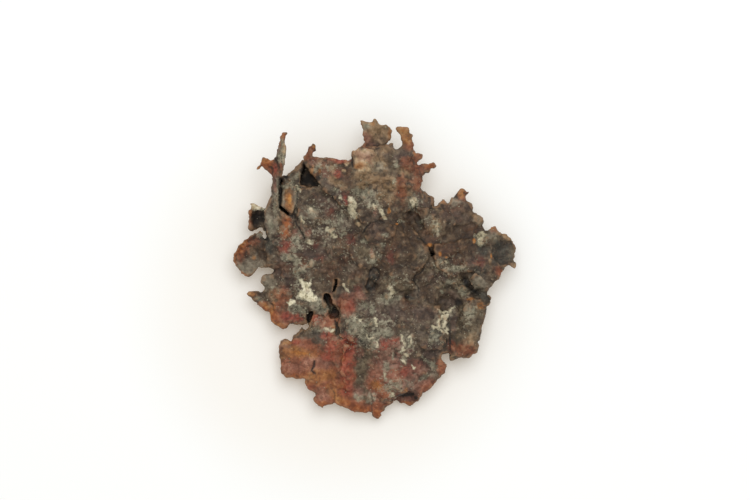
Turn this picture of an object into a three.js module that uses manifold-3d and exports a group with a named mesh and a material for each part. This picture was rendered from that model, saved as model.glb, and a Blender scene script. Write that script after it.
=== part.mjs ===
// A flat nugget of native copper: one crumpled plate of lobed leaves, thick in the middle and
// thin at its rim, with curled leaves and standing ribbons on its edge, open cracks and a cave.
// Millimetres, +Z up. It lies on its underside, with the origin under the middle of its box.
import * as THREE from "three";
import { mergeVertices } from "three/addons/utils/BufferGeometryUtils.js";
import Module from "manifold-3d";

// Driving dimensions.
const NUGGET_LENGTH = 60.4; // along Y, from the south tip to the north spike
const PLAN_LENGTH = 302; // the same length in steps of the plan grid
const PLAN_CENTRE = [375, 269]; // the plan point over the origin; plan x runs east, plan y south
const TOP_GRID = 1.5; // facet size of the upper face
const BASE_GRID = 2.8; // facet size of the underside
const LEDGE_GRID = 1.7; // facet size of a raised plate
const LEAF_GRID = 1.3; // facet size of a thin leaf
const GRID_JITTER = 0.28; // how far a grid point strays, as a share of the facet size
const MARK_REACH = 4.6; // how far a height mark spreads
const RIM_THICKNESS = 1.15; // at the very edge of the plate
const RIM_WIDTH = 5.5; // over which the plate thickens inwards
const RIM_ROLL = 0.45; // how far the upper face falls at the edge
const ROLL_WIDTH = 1.5;
const FOOT_DEPTH = 1.1; // worn off the tip of each foot, which leaves it flat
const FOOT_SPREAD = 7.5; // a foot's lump ends here
const GROUND_GAP = 0.4; // between the ground and whatever isn't a foot
const FLOOR_THICKNESS = 0.9; // metal left under the floor of a crack
const FLOOR_REACH = 1.8; // how far round a crack the underside bulges to hold its floor
const FLOOR_SLOPE = 1.5; // of that bulge
const LEAST_THICKNESS = 0.8; // of the plate, anywhere
const LEDGE_ROOT = 1.2; // how far a raised plate reaches down into the plate
const LEDGE_LOWEST = -0.5; // the least and the most of its rise that a ledge takes
const LEDGE_HIGHEST = 1.15;
const VALLEY_SPREAD = 1.6; // where a valley's wall ends, in half widths
const SHARED_RELIEF = 0.4; // of the upper face's relief that shows on the middle of the underside
const LEAF_THICKNESS = 0.85;
const LEAF_EDGE = 0.7; // thickness at a leaf's edge, as a share of its thickness
const LEAF_REACH = 2.2; // how far a height mark on a leaf spreads
const LEAF_WAVE = 2.4; // size of the lumps on a leaf
const RIBBON_SIDES = 6;
const ABOVE_ALL = 30; // heights that clear the whole nugget
const BELOW_ALL = -3;

const STEP = NUGGET_LENGTH / PLAN_LENGTH;
const mm = ([x, y]) => [(x - PLAN_CENTRE[0]) * STEP, (PLAN_CENTRE[1] - y) * STEP];

// Height marks on the plate: plan x, plan y, height of the upper face, thickness there.
const PLATE_MARKS = [
  { place: "west edge", x: 267, y: 222, top: 5.9, thick: 2.4 },
  { place: "fin foot", x: 278, y: 196, top: 7.6, thick: 3.2 },
  { place: "north-west slope", x: 292, y: 177, top: 6.2, thick: 3.0 },
  { place: "north-west plate", x: 318, y: 208, top: 7.7, thick: 4.8 },
  { place: "west plate", x: 285, y: 244, top: 6.7, thick: 3.6 },
  { place: "curl root", x: 266, y: 252, top: 3.5, thick: 1.6 },
  { place: "grey lobe", x: 266, y: 281, top: 4.5, thick: 1.5 },
  { place: "brown leaf", x: 270, y: 303, top: 4.4, thick: 1.4 },
  { place: "brown leaf tip", x: 249, y: 294, top: 5.5, thick: 1.1 },
  { place: "brown leaf heel", x: 293, y: 314, top: 4.9, thick: 2.2 },
  { place: "pale knuckle", x: 322, y: 305, top: 6.7, thick: 3.8 },
  { place: "west middle", x: 318, y: 262, top: 7.9, thick: 5.4 },
  { place: "middle", x: 372, y: 245, top: 9.0, thick: 7.4 },
  { place: "north sheet root", x: 350, y: 192, top: 7.9, thick: 4.6 },
  { place: "north rim", x: 335, y: 162, top: 6.6, thick: 2.6 },
  { place: "north-east root", x: 405, y: 182, top: 7.2, thick: 3.8 },
  { place: "round lobe", x: 429, y: 202, top: 6.1, thick: 2.6 },
  { place: "north-east lobes", x: 455, y: 212, top: 6.6, thick: 3.4 },
  { place: "north-east spike", x: 462, y: 194, top: 5.4, thick: 1.6 },
  { place: "east middle", x: 455, y: 250, top: 7.6, thick: 5.8 },
  { place: "east knob", x: 502, y: 248, top: 6.1, thick: 3.8 },
  { place: "beak", x: 515, y: 266, top: 4.4, thick: 1.6 },
  { place: "wedge", x: 477, y: 282, top: 7.0, thick: 4.4 },
  { place: "dark hollow", x: 447, y: 298, top: 6.3, thick: 4.4 },
  { place: "south-east slab", x: 468, y: 328, top: 5.6, thick: 3.8 },
  { place: "slab toe", x: 463, y: 355, top: 4.7, thick: 2.8 },
  { place: "south-east plate", x: 425, y: 335, top: 7.3, thick: 5.2 },
  { place: "south-east edge", x: 430, y: 383, top: 4.9, thick: 2.2 },
  { place: "south plate", x: 392, y: 372, top: 6.4, thick: 4.0 },
  { place: "south tip", x: 378, y: 416, top: 2.9, thick: 1.3 },
  { place: "south middle", x: 375, y: 312, top: 8.5, thick: 6.6 },
  { place: "red leaf root", x: 337, y: 350, top: 6.5, thick: 4.4 },
  { place: "red leaf", x: 306, y: 362, top: 4.9, thick: 1.9 },
  { place: "red leaf west rim", x: 281, y: 358, top: 3.7, thick: 1.2 },
  { place: "red leaf lobe", x: 322, y: 402, top: 3.3, thick: 1.2 },
  { place: "red leaf south", x: 350, y: 400, top: 4.0, thick: 1.6 },
];

// The plate's outline on the plan grid, eastwards round from the foot of the fin.
const PLATE_OUTLINE = [
  [281, 177], [283, 175], [286, 176], [294, 169], [302, 161], [306, 160], [330, 162], [352, 162],
  [372, 152], [400, 155], [416, 168], [419, 184], [421, 189], [424, 191], [426, 195], [430, 196],
  [433, 198], [434, 203], [433, 208], [438, 205], [441, 201], [444, 200], [446, 202], [448, 204],
  [450, 202], [451, 197], [455, 196], [458, 193], [461, 188], [465, 190], [470, 192], [467, 195],
  [466, 201], [471, 204], [473, 208], [472, 212], [476, 213], [481, 216], [483, 221], [482, 226],
  [484, 230], [489, 229], [492, 226], [495, 227], [496, 231], [498, 233], [502, 234], [506, 234],
  [509, 237], [513, 241], [515, 247], [515, 252], [514, 257], [513, 259], [516, 262], [517, 266],
  [516, 270], [512, 268], [507, 265], [504, 268], [501, 274], [497, 280], [493, 284], [490, 288],
  [487, 293], [490, 296], [491, 299], [490, 303], [486.5, 306], [487.5, 309], [485.5, 315], [484.5, 320],
  [482, 325], [481.5, 330], [480.5, 336], [478.5, 341], [477.5, 350], [475, 354], [470, 357], [465, 357],
  [460, 358], [455, 359], [453, 361], [449.5, 359.5], [450.5, 353], [446, 353], [441, 354], [439.5, 360],
  [444, 362], [447, 365], [445, 373], [440, 376.5], [436.5, 380], [432, 386.5], [428, 390.5], [420.5, 397],
  [419, 401], [416, 396.5], [413, 392.5], [409, 391], [405, 393.5], [400, 395], [394, 400], [392, 404],
  [386, 407], [384, 410], [382, 413], [382, 417], [379, 420], [376, 419], [373, 416], [370, 412],
  [366, 414], [362, 412], [354, 413], [346, 408], [342, 406], [338, 405], [334, 401], [332, 405],
  [327, 405], [322, 407], [316, 404], [313, 400], [315, 396], [316, 393], [308, 389], [304, 382],
  [307, 380], [305, 379], [296, 378], [287, 377.5], [280.5, 373.5], [280.5, 366], [280.5, 360], [279.5, 356],
  [277.5, 350], [279.5, 343], [281, 340], [284, 339], [291, 342], [292, 337], [298, 334], [300, 331],
  [302, 326], [304, 331], [308, 328], [311, 325], [305, 323], [300, 324], [296, 325], [291, 323],
  [288, 325], [286, 329], [282, 329], [274, 325], [271, 322], [269, 314], [270, 310], [267, 311],
  [263, 310], [260, 306], [256, 302], [252, 298], [248, 297.5], [246, 294], [249.5, 290.5], [255, 291],
  [260, 292], [262, 293], [264, 290], [275, 288], [267, 288], [263, 286], [260, 281], [262, 275],
  [270, 273], [276, 272], [271, 269], [268, 266], [264, 246], [267, 238], [265, 231], [264, 222],
  [265, 210], [268, 202], [272, 194], [274, 184], [277, 178],
];

// Plates that stand above what is round them: outline on the plan grid, height of the cliff, and
// the plan points where the plate sinks into the face (low) and where it stands clear (high).
const RAISED_PLATES = [
  {
    place: "orange block",
    rise: 1.1,
    low: [276, 196],
    high: [295, 199],
    outline: [[283, 184], [290, 183], [297, 187], [297, 203], [293, 214], [288, 211], [282, 206]],
  },
  {
    place: "wedge",
    rise: 1.5,
    low: [486, 290],
    high: [472, 276],
    outline: [[469, 279], [475, 273], [481, 277], [489, 285], [487, 291], [477, 290], [471, 284]],
  },
  {
    place: "crack plate",
    rise: 0.8,
    low: [384, 246],
    high: [424, 252],
    outline: [
      [384, 226], [398, 217], [412, 226], [424, 243], [430, 253], [425, 266], [413, 275], [415, 290],
      [400, 292], [388, 276], [380, 252],
    ],
  },
  {
    place: "north-west plate",
    rise: 0.8,
    low: [334, 222],
    high: [300, 206],
    outline: [[300, 189], [318, 187], [331, 197], [338, 214], [330, 236], [306, 238], [297, 216]],
  },
  {
    place: "west knuckle",
    rise: 0.9,
    low: [314, 300],
    high: [329, 312],
    outline: [[312, 299], [322, 297], [327, 303], [330, 312], [326, 317], [317, 315], [311, 308]],
  },
  {
    place: "south-west plate",
    rise: 0.9,
    low: [366, 312],
    high: [340, 318],
    outline: [[340, 297], [352, 303], [362, 326], [352, 340], [340, 336], [338, 322], [341, 312]],
  },
  {
    place: "south-east plate",
    rise: 0.9,
    low: [408, 330],
    high: [442, 336],
    outline: [[408, 314], [430, 304], [440, 306], [440, 322], [446, 336], [444, 350], [424, 350], [410, 336]],
  },
  {
    place: "east plate",
    rise: 0.9,
    low: [480, 246],
    high: [440, 262],
    outline: [[434, 245], [462, 240], [482, 238], [490, 258], [470, 271], [452, 278], [438, 268], [434, 258]],
  },
  {
    place: "north-east plate",
    rise: 0.8,
    low: [446, 236],
    high: [424, 212],
    outline: [[416, 206], [430, 208], [446, 210], [458, 224], [446, 236], [428, 232], [420, 222]],
  },
  {
    place: "south ridge",
    rise: 0.9,
    low: [364, 372],
    high: [342, 364],
    outline: [[344, 344], [354, 346], [364, 368], [358, 392], [346, 390], [340, 368]],
  },
];

// Round lumps and hollows of the upper face: plan centre, radius in mm, rise (a fall where negative).
const LUMPS = [
  { place: "middle of the nugget", x: 388, y: 236, radius: 4.5, rise: 0.7 },
  { place: "west boss", x: 330, y: 250, radius: 3.0, rise: 0.5 },
  { place: "dent by the west boss", x: 344, y: 226, radius: 2.2, rise: -0.9 },
  { place: "oval pit", x: 373, y: 279, radius: 1.3, rise: -1.5 },
  { place: "dark hollow", x: 449, y: 299, radius: 2.3, rise: -1.3 },
  { place: "knob dish", x: 503, y: 252, radius: 2.4, rise: -0.9 },
  { place: "knob crown", x: 492, y: 240, radius: 2.0, rise: 0.7 },
  { place: "east pit", x: 432, y: 254, radius: 0.7, rise: -1 },
  { place: "small pit", x: 409, y: 297, radius: 0.8, rise: -1.4 },
  { place: "grey crust", x: 362, y: 332, radius: 2.6, rise: 0.8 },
  { place: "white crust", x: 307, y: 291, radius: 2.2, rise: 0.5 },
  { place: "leaf saddle", x: 290, y: 300, radius: 2.4, rise: -0.6 },
  { place: "slab swell", x: 470, y: 320, radius: 2.4, rise: 0.6 },
  { place: "north-east swell", x: 446, y: 222, radius: 2.8, rise: 0.7 },
  { place: "south swell", x: 383, y: 350, radius: 3.4, rise: 0.8 },
  { place: "south dent", x: 402, y: 352, radius: 1.8, rise: -0.8 },
  { place: "red ridge", x: 345, y: 372, radius: 2.6, rise: 0.8 },
  { place: "red furrow", x: 333, y: 388, radius: 1.8, rise: -0.6 },
  { place: "south lobe", x: 377, y: 402, radius: 1.8, rise: 0.6 },
];

// Open valleys of the upper face: route on the plan grid, half width in mm and depth.
const VALLEYS = [
  { place: "slab crevice", half: 0.7, deep: 1.5, route: [[463, 297], [457, 306], [453, 322], [450, 350]] },
  { place: "wedge crevice", half: 0.9, deep: 2.0, route: [[465, 275], [468, 285], [476, 293], [489, 299]] },
  { place: "middle valley", half: 0.9, deep: 0.45, route: [[340, 214], [366, 226], [380, 214], [411, 212]] },
  { place: "east valley", half: 0.8, deep: 0.4, route: [[411, 212], [420, 230], [432, 250], [462, 262]] },
  { place: "south valley", half: 1.1, deep: 0.5, route: [[352, 340], [357, 362], [362, 392]] },
];

// Open cracks with steep walls: outline on the plan grid and the height of the floor.
const CRACKS = [
  {
    place: "fin slit",
    floor: 3.4,
    outline: [
      [279, 178], [283.5, 180], [282.3, 184], [282, 206.5], [287, 211], [293, 215.5], [291.5, 217],
      [285, 213], [279, 208.5],
    ],
  },
  {
    place: "north cave",
    floor: 3.3,
    outline: [
      [304, 161], [308, 168], [313, 175], [318, 182], [321, 185.5], [315, 186], [311, 188.5], [306, 186],
      [300, 184.5], [302, 175], [303, 168],
    ],
  },
  {
    place: "west slot",
    floor: 2.4,
    outline: [
      [323.5, 294.5], [327.5, 292.5], [331, 296.5], [332, 303], [337, 308], [339, 314], [335.5, 319.5],
      [330, 318], [329, 313.5], [330.5, 310], [327.5, 306], [324.5, 301],
    ],
  },
  {
    place: "west slot tail",
    floor: 3.6,
    outline: [[336, 276], [338.5, 280], [337, 287], [334, 292.5], [332, 291.5], [334.5, 285], [335, 280]],
  },
  {
    place: "little slot",
    floor: 2.2,
    outline: [[310, 310.5], [314, 312], [311.5, 318], [310, 323.5], [306, 322.5], [306.5, 316]],
  },
  {
    place: "middle crack",
    floor: 5.4,
    outline: [
      [426, 244], [431, 250], [434, 254], [432, 259], [427, 265.5], [420.5, 271.5], [414.5, 276],
      [412.5, 276.5], [419.5, 270], [426, 264], [430.5, 257.5], [429.5, 252],
    ],
  },
];

// Broad, smooth random relief that repeats on every run.
const RELIEF = [
  { wave: 7.5, height: 0.85 },
  { wave: 3.6, height: 0.6 },
  { wave: 2.1, height: 0.28 },
];
const UNDER_RELIEF = [
  { wave: 9.0, height: 1.6 },
  { wave: 4.6, height: 1.0 },
];

// Lumps of the underside that the nugget stands on.
const FEET = [[322, 352], [318, 222], [440, 226], [436, 334], [378, 268]];

function cellValue(i, j, layer) {
  const wave = Math.sin(i * 127.1 + j * 311.7 + layer * 74.7) * 43758.5453;
  return 2 * (wave - Math.floor(wave)) - 1;
}

function smooth(t) {
  const s = Math.min(1, Math.max(0, t));
  return s * s * (3 - 2 * s);
}

function roughness(x, y, relief, layer) {
  let sum = 0;
  relief.forEach(({ wave, height }, octave) => {
    const [u, v] = [x / wave + 31 * octave, y / wave - 17 * octave];
    const [i, j] = [Math.floor(u), Math.floor(v)];
    const [a, b] = [smooth(u - i), smooth(v - j)];
    const near = cellValue(i, j, layer) * (1 - a) + cellValue(i + 1, j, layer) * a;
    const far = cellValue(i, j + 1, layer) * (1 - a) + cellValue(i + 1, j + 1, layer) * a;
    sum += height * (near * (1 - b) + far * b);
  });
  return sum;
}

// Distance from a point to the segments of a route, or of a closed outline.
function distanceTo(points, x, y, closed) {
  let least = Infinity;
  const last = closed ? points.length : points.length - 1;
  for (let k = 0; k < last; k++) {
    const [ax, ay] = points[k];
    const [bx, by] = points[(k + 1) % points.length];
    const [dx, dy] = [bx - ax, by - ay];
    const t = Math.min(1, Math.max(0, ((x - ax) * dx + (y - ay) * dy) / (dx * dx + dy * dy)));
    least = Math.min(least, Math.hypot(x - ax - t * dx, y - ay - t * dy));
  }
  return least;
}

function isInside(points, x, y) {
  let inside = false;
  points.forEach(([ax, ay], k) => {
    const [bx, by] = points[(k + 1) % points.length];
    if (ay > y !== by > y && x < ax + ((y - ay) / (by - ay)) * (bx - ax)) inside = !inside;
  });
  return inside;
}

// The smooth surface through a list of marks, read for one of their values.
function blended(marks, key, x, y, reach = MARK_REACH) {
  let [sum, weights] = [0, 0];
  for (const mark of marks) {
    const [mx, my] = mm([mark.x, mark.y]);
    const far = ((x - mx) ** 2 + (y - my) ** 2) / (reach * reach);
    const weight = Math.exp(-Math.min(far / 2, 60)) + 1e-6 / (1 + far);
    sum += weight * mark[key];
    weights += weight;
  }
  return sum / weights;
}

const plateOutline = PLATE_OUTLINE.map(mm);
const valleys = VALLEYS.map(({ route, half, deep }) => ({ half, deep, route: route.map(mm) }));
const cracks = CRACKS.map(({ outline, floor }) => ({ floor, outline: outline.map(mm) }));
const feet = FEET.map(mm);

// Distance inwards from the plate's rim.
function rimDistance(x, y) {
  return isInside(plateOutline, x, y) ? distanceTo(plateOutline, x, y, true) : 0;
}

// Height of the plate's upper face, before the open cracks are cut.
function plateTop(x, y) {
  let z = blended(PLATE_MARKS, "top", x, y) + roughness(x, y, RELIEF, 1);
  z -= RIM_ROLL * (1 - smooth(rimDistance(x, y) / ROLL_WIDTH));
  for (const lump of LUMPS) {
    const [cx, cy] = mm([lump.x, lump.y]);
    z += lump.rise * Math.exp(-((x - cx) ** 2 + (y - cy) ** 2) / lump.radius ** 2);
  }
  for (const { route, half, deep } of valleys) {
    z -= deep * (1 - smooth(distanceTo(route, x, y, false) / (VALLEY_SPREAD * half)));
  }
  return z;
}

// Height of its underside: thin at the rim, lumpy, and down below the ground at the feet.
function plateBase(x, y) {
  const inward = smooth(rimDistance(x, y) / RIM_WIDTH);
  const thick = RIM_THICKNESS * (1 - inward) + blended(PLATE_MARKS, "thick", x, y) * inward;
  const shared = 1 - (1 - SHARED_RELIEF) * inward;
  const bumps = roughness(x, y, RELIEF, 1) * shared + roughness(x, y, UNDER_RELIEF, 2) * inward;
  let z = blended(PLATE_MARKS, "top", x, y) - RIM_ROLL / 2 - thick + bumps;
  z = Math.min(z, plateTop(x, y) - LEAST_THICKNESS);
  for (const { outline, floor } of cracks) {
    const away = isInside(outline, x, y) ? 0 : distanceTo(outline, x, y, true);
    z = Math.min(z, floor - FLOOR_THICKNESS + FLOOR_SLOPE * Math.max(0, away - FLOOR_REACH));
  }
  z = Math.max(z, GROUND_GAP);
  for (const [fx, fy] of feet) {
    const near = 1 - smooth(Math.hypot(x - fx, y - fy) / FOOT_SPREAD);
    z = Math.min(z, z * (1 - near) - FOOT_DEPTH * near);
  }
  return z;
}

const wasm = await Module();
wasm.setup();

function solidOf(geometry) {
  geometry.deleteAttribute("normal");
  geometry.deleteAttribute("uv");
  const merged = mergeVertices(geometry, 1e-4);
  return new wasm.Manifold(
    new wasm.Mesh({
      numProp: 3,
      vertProperties: new Float32Array(merged.attributes.position.array),
      triVerts: new Uint32Array(merged.index.array),
    }),
  );
}

function geometryOf(solid) {
  const { vertProperties, triVerts, numProp } = solid.getMesh();
  const corners = new Float32Array((vertProperties.length / numProp) * 3);
  for (let v = 0; v * numProp < vertProperties.length; v++)
    corners.set(vertProperties.subarray(v * numProp, v * numProp + 3), v * 3);
  return new THREE.BufferGeometry()
    .setAttribute("position", new THREE.BufferAttribute(corners, 3))
    .setIndex(new THREE.BufferAttribute(triVerts, 1));
}

// The largest connected skin of a geometry: small pockets closed in between sheets are filled
// by it, and crumbs that hang on nothing are dropped.
function outerSkin(geometry) {
  const faces = geometry.index.array;
  const chief = Array.from({ length: geometry.attributes.position.count }, (_, v) => v);
  const chiefOf = (v) => {
    while (chief[v] !== v) v = chief[v] = chief[chief[v]];
    return v;
  };
  for (let f = 0; f < faces.length; f += 3) {
    chief[chiefOf(faces[f + 1])] = chiefOf(faces[f]);
    chief[chiefOf(faces[f + 2])] = chiefOf(faces[f]);
  }
  const sizes = new Map();
  for (let f = 0; f < faces.length; f += 3) {
    const key = chiefOf(faces[f]);
    sizes.set(key, (sizes.get(key) ?? 0) + 1);
  }
  const largest = [...sizes].sort((a, b) => b[1] - a[1])[0][0];
  const kept = [];
  for (let f = 0; f < faces.length; f += 3)
    if (chiefOf(faces[f]) === largest) kept.push(faces[f], faces[f + 1], faces[f + 2]);
  geometry.setIndex(kept);
  return mergeVertices(geometry.toNonIndexed(), 1e-6);
}

function boxOf(points) {
  const xs = points.map(([x]) => x);
  const ys = points.map(([, y]) => y);
  return [Math.min(...xs) - 1, Math.min(...ys) - 1, Math.max(...xs) + 1, Math.max(...ys) + 1];
}

// An upright prism with a plan outline.
function prism(points, low, high) {
  const shape = new THREE.Shape(points.map(([x, y]) => new THREE.Vector2(x, y)));
  const geometry = new THREE.ExtrudeGeometry(shape, { depth: high - low, bevelEnabled: false });
  geometry.translate(0, 0, low);
  return solidOf(geometry);
}

// A slab over a box of the plan, between an upper and a lower height function.
function slab([west, south, east, north], top, base, grid) {
  const across = Math.ceil((east - west) / grid);
  const along = Math.ceil((north - south) / grid);
  const geometry = new THREE.BoxGeometry(east - west, north - south, 2, across, along, 1);
  geometry.translate((east + west) / 2, (north + south) / 2, 0);
  const corners = geometry.attributes.position;
  for (let k = 0; k < corners.count; k++) {
    const [i, j] = [Math.round(corners.getX(k) / grid), Math.round(corners.getY(k) / grid)];
    const x = corners.getX(k) + GRID_JITTER * grid * cellValue(i, j, 5);
    const y = corners.getY(k) + GRID_JITTER * grid * cellValue(i, j, 6);
    corners.setXYZ(k, x, y, corners.getZ(k) > 0 ? top(x, y) : base(x, y));
  }
  return solidOf(geometry);
}

// A thin leaf: an outline and height marks for its upper face, of even thickness across its slope.
function leaf({ outline, marks, thick = LEAF_THICKNESS, reach = LEAF_REACH, relief = 0.3 }) {
  const points = outline.map(mm);
  const rough = [{ wave: LEAF_WAVE, height: relief }];
  const top = (x, y) => blended(marks, "top", x, y, reach) + roughness(x, y, rough, 3);
  const base = (x, y) => {
    const e = 0.3; // the slope is taken over twice this
    const slope = Math.hypot(top(x + e, y) - top(x - e, y), top(x, y + e) - top(x, y - e)) / (2 * e);
    const edge = isInside(points, x, y) ? distanceTo(points, x, y, true) : 0;
    const fill = LEAF_EDGE + (1 - LEAF_EDGE) * smooth(edge / ROLL_WIDTH);
    return top(x, y) - thick * fill * Math.hypot(1, slope);
  };
  return prism(points, BELOW_ALL, ABOVE_ALL).intersect(slab(boxOf(points), top, base, LEAF_GRID));
}

// A ribbon with a six-sided section, running north along stations: plan x, plan y, height, half
// width in mm, and the compass turn and tilt of its width, in degrees.
function ribbon(stations, thick) {
  const sides = RIBBON_SIDES;
  const corners = [];
  const faces = [];
  for (const { x, y, z, half, turn, tilt } of stations) {
    const [cx, cy] = mm([x, y]);
    const [a, b] = [THREE.MathUtils.degToRad(turn), THREE.MathUtils.degToRad(tilt)];
    const wide = new THREE.Vector3(Math.cos(a) * Math.cos(b), Math.sin(a) * Math.cos(b), Math.sin(b));
    const deep = new THREE.Vector3(-Math.cos(a) * Math.sin(b), -Math.sin(a) * Math.sin(b), Math.cos(b));
    for (let k = 0; k < sides; k++) {
      const angle = (2 * Math.PI * k) / sides;
      corners.push(
        new THREE.Vector3(cx, cy, z)
          .addScaledVector(wide, half * Math.cos(angle))
          .addScaledVector(deep, (thick / 2) * Math.sin(angle)),
      );
    }
  }
  const last = stations.length - 1;
  for (let s = 0; s < last; s++) {
    for (let k = 0; k < sides; k++) {
      const [p, q] = [s * sides + k, s * sides + ((k + 1) % sides)];
      faces.push(p, q + sides, q, p, p + sides, q + sides);
    }
  }
  for (let k = 1; k < sides - 1; k++) {
    faces.push(0, k, k + 1);
    faces.push(last * sides, last * sides + k + 1, last * sides + k);
  }
  const geometry = new THREE.BufferGeometry().setFromPoints(corners);
  geometry.setIndex(faces);
  return solidOf(geometry);
}

// The plate with the ledges of the plates raised on it, flat where its feet met the ground.
function plate() {
  const box = boxOf(plateOutline);
  const upper = slab(box, plateTop, () => BELOW_ALL, TOP_GRID);
  const lower = slab(box, () => ABOVE_ALL, plateBase, BASE_GRID);
  let solid = prism(plateOutline, 0, ABOVE_ALL).intersect(upper).intersect(lower);
  for (const ledge of RAISED_PLATES.map(raisedPlate)) solid = solid.add(ledge);
  return solid;
}

// A ledge that rises from the place where it sinks into the plate to the place where it stands clear.
function raisedPlate({ outline, rise, low, high }) {
  const points = outline.map(mm);
  const [from, to] = [mm(low), mm(high)];
  const run = [to[0] - from[0], to[1] - from[1]];
  const top = (x, y) => {
    const share = ((x - from[0]) * run[0] + (y - from[1]) * run[1]) / (run[0] ** 2 + run[1] ** 2);
    return plateTop(x, y) + rise * Math.min(LEDGE_HIGHEST, Math.max(LEDGE_LOWEST, share));
  };
  const base = (x, y) => plateTop(x, y) - LEDGE_ROOT;
  return prism(points, 0, ABOVE_ALL).intersect(slab(boxOf(points), top, base, LEDGE_GRID));
}

// The curled leaf on the west edge: a trough with its outer rim rolled up.
function curledLeaf() {
  return leaf({
    outline: [
      [268, 238], [263, 238], [264, 234], [260, 231], [256, 233], [249, 237], [244, 241], [240, 244],
      [236, 250], [233, 255], [233, 260], [235, 264], [238, 269], [241, 274], [246, 276], [250, 276],
      [253, 273], [256, 270], [259, 266], [262, 268], [268, 267], [280, 262], [282, 245], [275, 238],
    ],
    marks: [
      { x: 248, y: 253, top: 3.1 },
      { x: 257, y: 245, top: 3.9 },
      { x: 240, y: 262, top: 3.9 },
      { x: 241, y: 245, top: 7.0 },
      { x: 249, y: 237, top: 6.7 },
      { x: 233, y: 256, top: 6.4 },
      { x: 247, y: 272, top: 4.4 },
      { x: 258, y: 260, top: 4.9 },
      { x: 261, y: 232, top: 5.3 },
      { x: 262, y: 243, top: 5.2 },
      { x: 262, y: 257, top: 5.2 },
      { x: 268, y: 250, top: 5.6 },
      { x: 282, y: 250, top: 5.6 },
    ],
    reach: 1.45,
    relief: 0.25,
  });
}

// The dark cupped leaf north of it: a deep floor between a west rim and a north rim.
function cuppedLeaf() {
  return leaf({
    outline: [
      [270, 210], [263, 208], [258, 205], [253, 202.5], [251, 203.5], [252, 209], [249, 210], [248, 212],
      [250, 216], [249, 222], [249, 226], [250, 229], [254, 230], [257, 229], [260, 228], [263, 231],
      [272, 232], [274, 220],
    ],
    marks: [
      { x: 256, y: 218, top: 2.7 },
      { x: 256, y: 225, top: 2.9 },
      { x: 262, y: 220, top: 3.4 },
      { x: 248, y: 213, top: 5.4 },
      { x: 249, y: 221, top: 5.2 },
      { x: 249, y: 227, top: 4.2 },
      { x: 253, y: 205, top: 5.6 },
      { x: 261, y: 208, top: 5.5 },
      { x: 270, y: 215, top: 5.0 },
      { x: 271, y: 226, top: 4.9 },
    ],
    reach: 0.95,
    relief: 0.15,
  });
}

// The sheet that arches over the north cave and carries the tabs of the north-east edge.
function northSheet() {
  return leaf({
    outline: [
      [304, 160], [308, 159], [314, 158], [320, 159], [330, 158], [334, 158], [338, 159], [344, 160],
      [352, 161], [352, 156], [352, 151], [355, 151], [358, 148], [362, 145], [370, 147], [380, 146],
      [385, 145], [389, 145], [391, 143], [393, 144], [394, 149], [396, 150], [400, 147], [404, 145],
      [413, 146], [414, 150], [415, 154], [418, 153], [423, 155], [422, 158], [419, 160], [416, 164],
      [420, 165], [428, 164], [434, 163], [436, 166], [434, 168], [429, 168], [429, 173], [424, 172],
      [422, 177], [423, 180], [421, 184], [421, 189], [415, 198], [400, 203], [385, 200], [368, 206],
      [352, 206], [341, 206], [334, 199], [327, 193], [320, 185], [313, 175], [308, 168],
    ],
    marks: [
      { x: 306, y: 161, top: 6.8 },
      { x: 314, y: 172, top: 8.3 },
      { x: 324, y: 187, top: 8.9 },
      { x: 332, y: 196, top: 8.9 },
      { x: 330, y: 172, top: 8.6 },
      { x: 340, y: 162, top: 7.4 },
      { x: 348, y: 186, top: 8.5 },
      { x: 341, y: 206, top: 7.6 },
      { x: 362, y: 160, top: 9.7 },
      { x: 356, y: 150, top: 8.4 },
      { x: 372, y: 150, top: 8.2 },
      { x: 390, y: 146, top: 7.2 },
      { x: 380, y: 170, top: 8.9 },
      { x: 372, y: 203, top: 6.6 },
      { x: 400, y: 160, top: 7.8 },
      { x: 400, y: 182, top: 8.4 },
      { x: 398, y: 203, top: 6.2 },
      { x: 412, y: 150, top: 7.0 },
      { x: 422, y: 156, top: 5.9 },
      { x: 418, y: 172, top: 6.2 },
      { x: 433, y: 165, top: 4.6 },
      { x: 421, y: 186, top: 6.6 },
    ],
    thick: 1.5,
    reach: 2.0,
    relief: 0.4,
  });
}

// The spiked leaf at the very north, one step lower than the sheet.
function northLeaf() {
  return leaf({
    outline: [
      [364, 142], [363, 138], [362, 134], [363, 130], [362, 126], [360, 122], [362, 120], [365, 122],
      [369, 123], [374, 121], [373, 118], [375, 118], [377, 121], [380, 125], [387, 125], [390, 128],
      [392, 132], [391, 135], [390, 140], [387, 142], [384, 146], [384, 156], [372, 160], [361, 150],
    ],
    marks: [
      { x: 361, y: 121, top: 7.6 },
      { x: 375, y: 118, top: 7.4 },
      { x: 375, y: 130, top: 6.3 },
      { x: 390, y: 132, top: 5.9 },
      { x: 366, y: 136, top: 6.5 },
      { x: 372, y: 144, top: 6.6 },
      { x: 374, y: 156, top: 7.2 },
    ],
  });
}

// The orange leaf east of it, narrow and toothed.
function orangeLeaf() {
  return leaf({
    outline: [
      [403, 147], [401, 140], [400, 135], [397, 132], [395, 128.5], [400, 126.5], [406, 126.5], [409.5, 129],
      [409, 134], [413, 136], [411, 140], [413, 142], [415, 146], [414, 150], [412, 160], [402, 158],
    ],
    marks: [
      { x: 397, y: 129, top: 8.6 },
      { x: 405, y: 129, top: 8.2 },
      { x: 406, y: 138, top: 7.3 },
      { x: 412, y: 137, top: 7.0 },
      { x: 408, y: 148, top: 6.9 },
      { x: 407, y: 158, top: 6.8 },
    ],
    relief: 0.2,
  });
}

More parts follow.
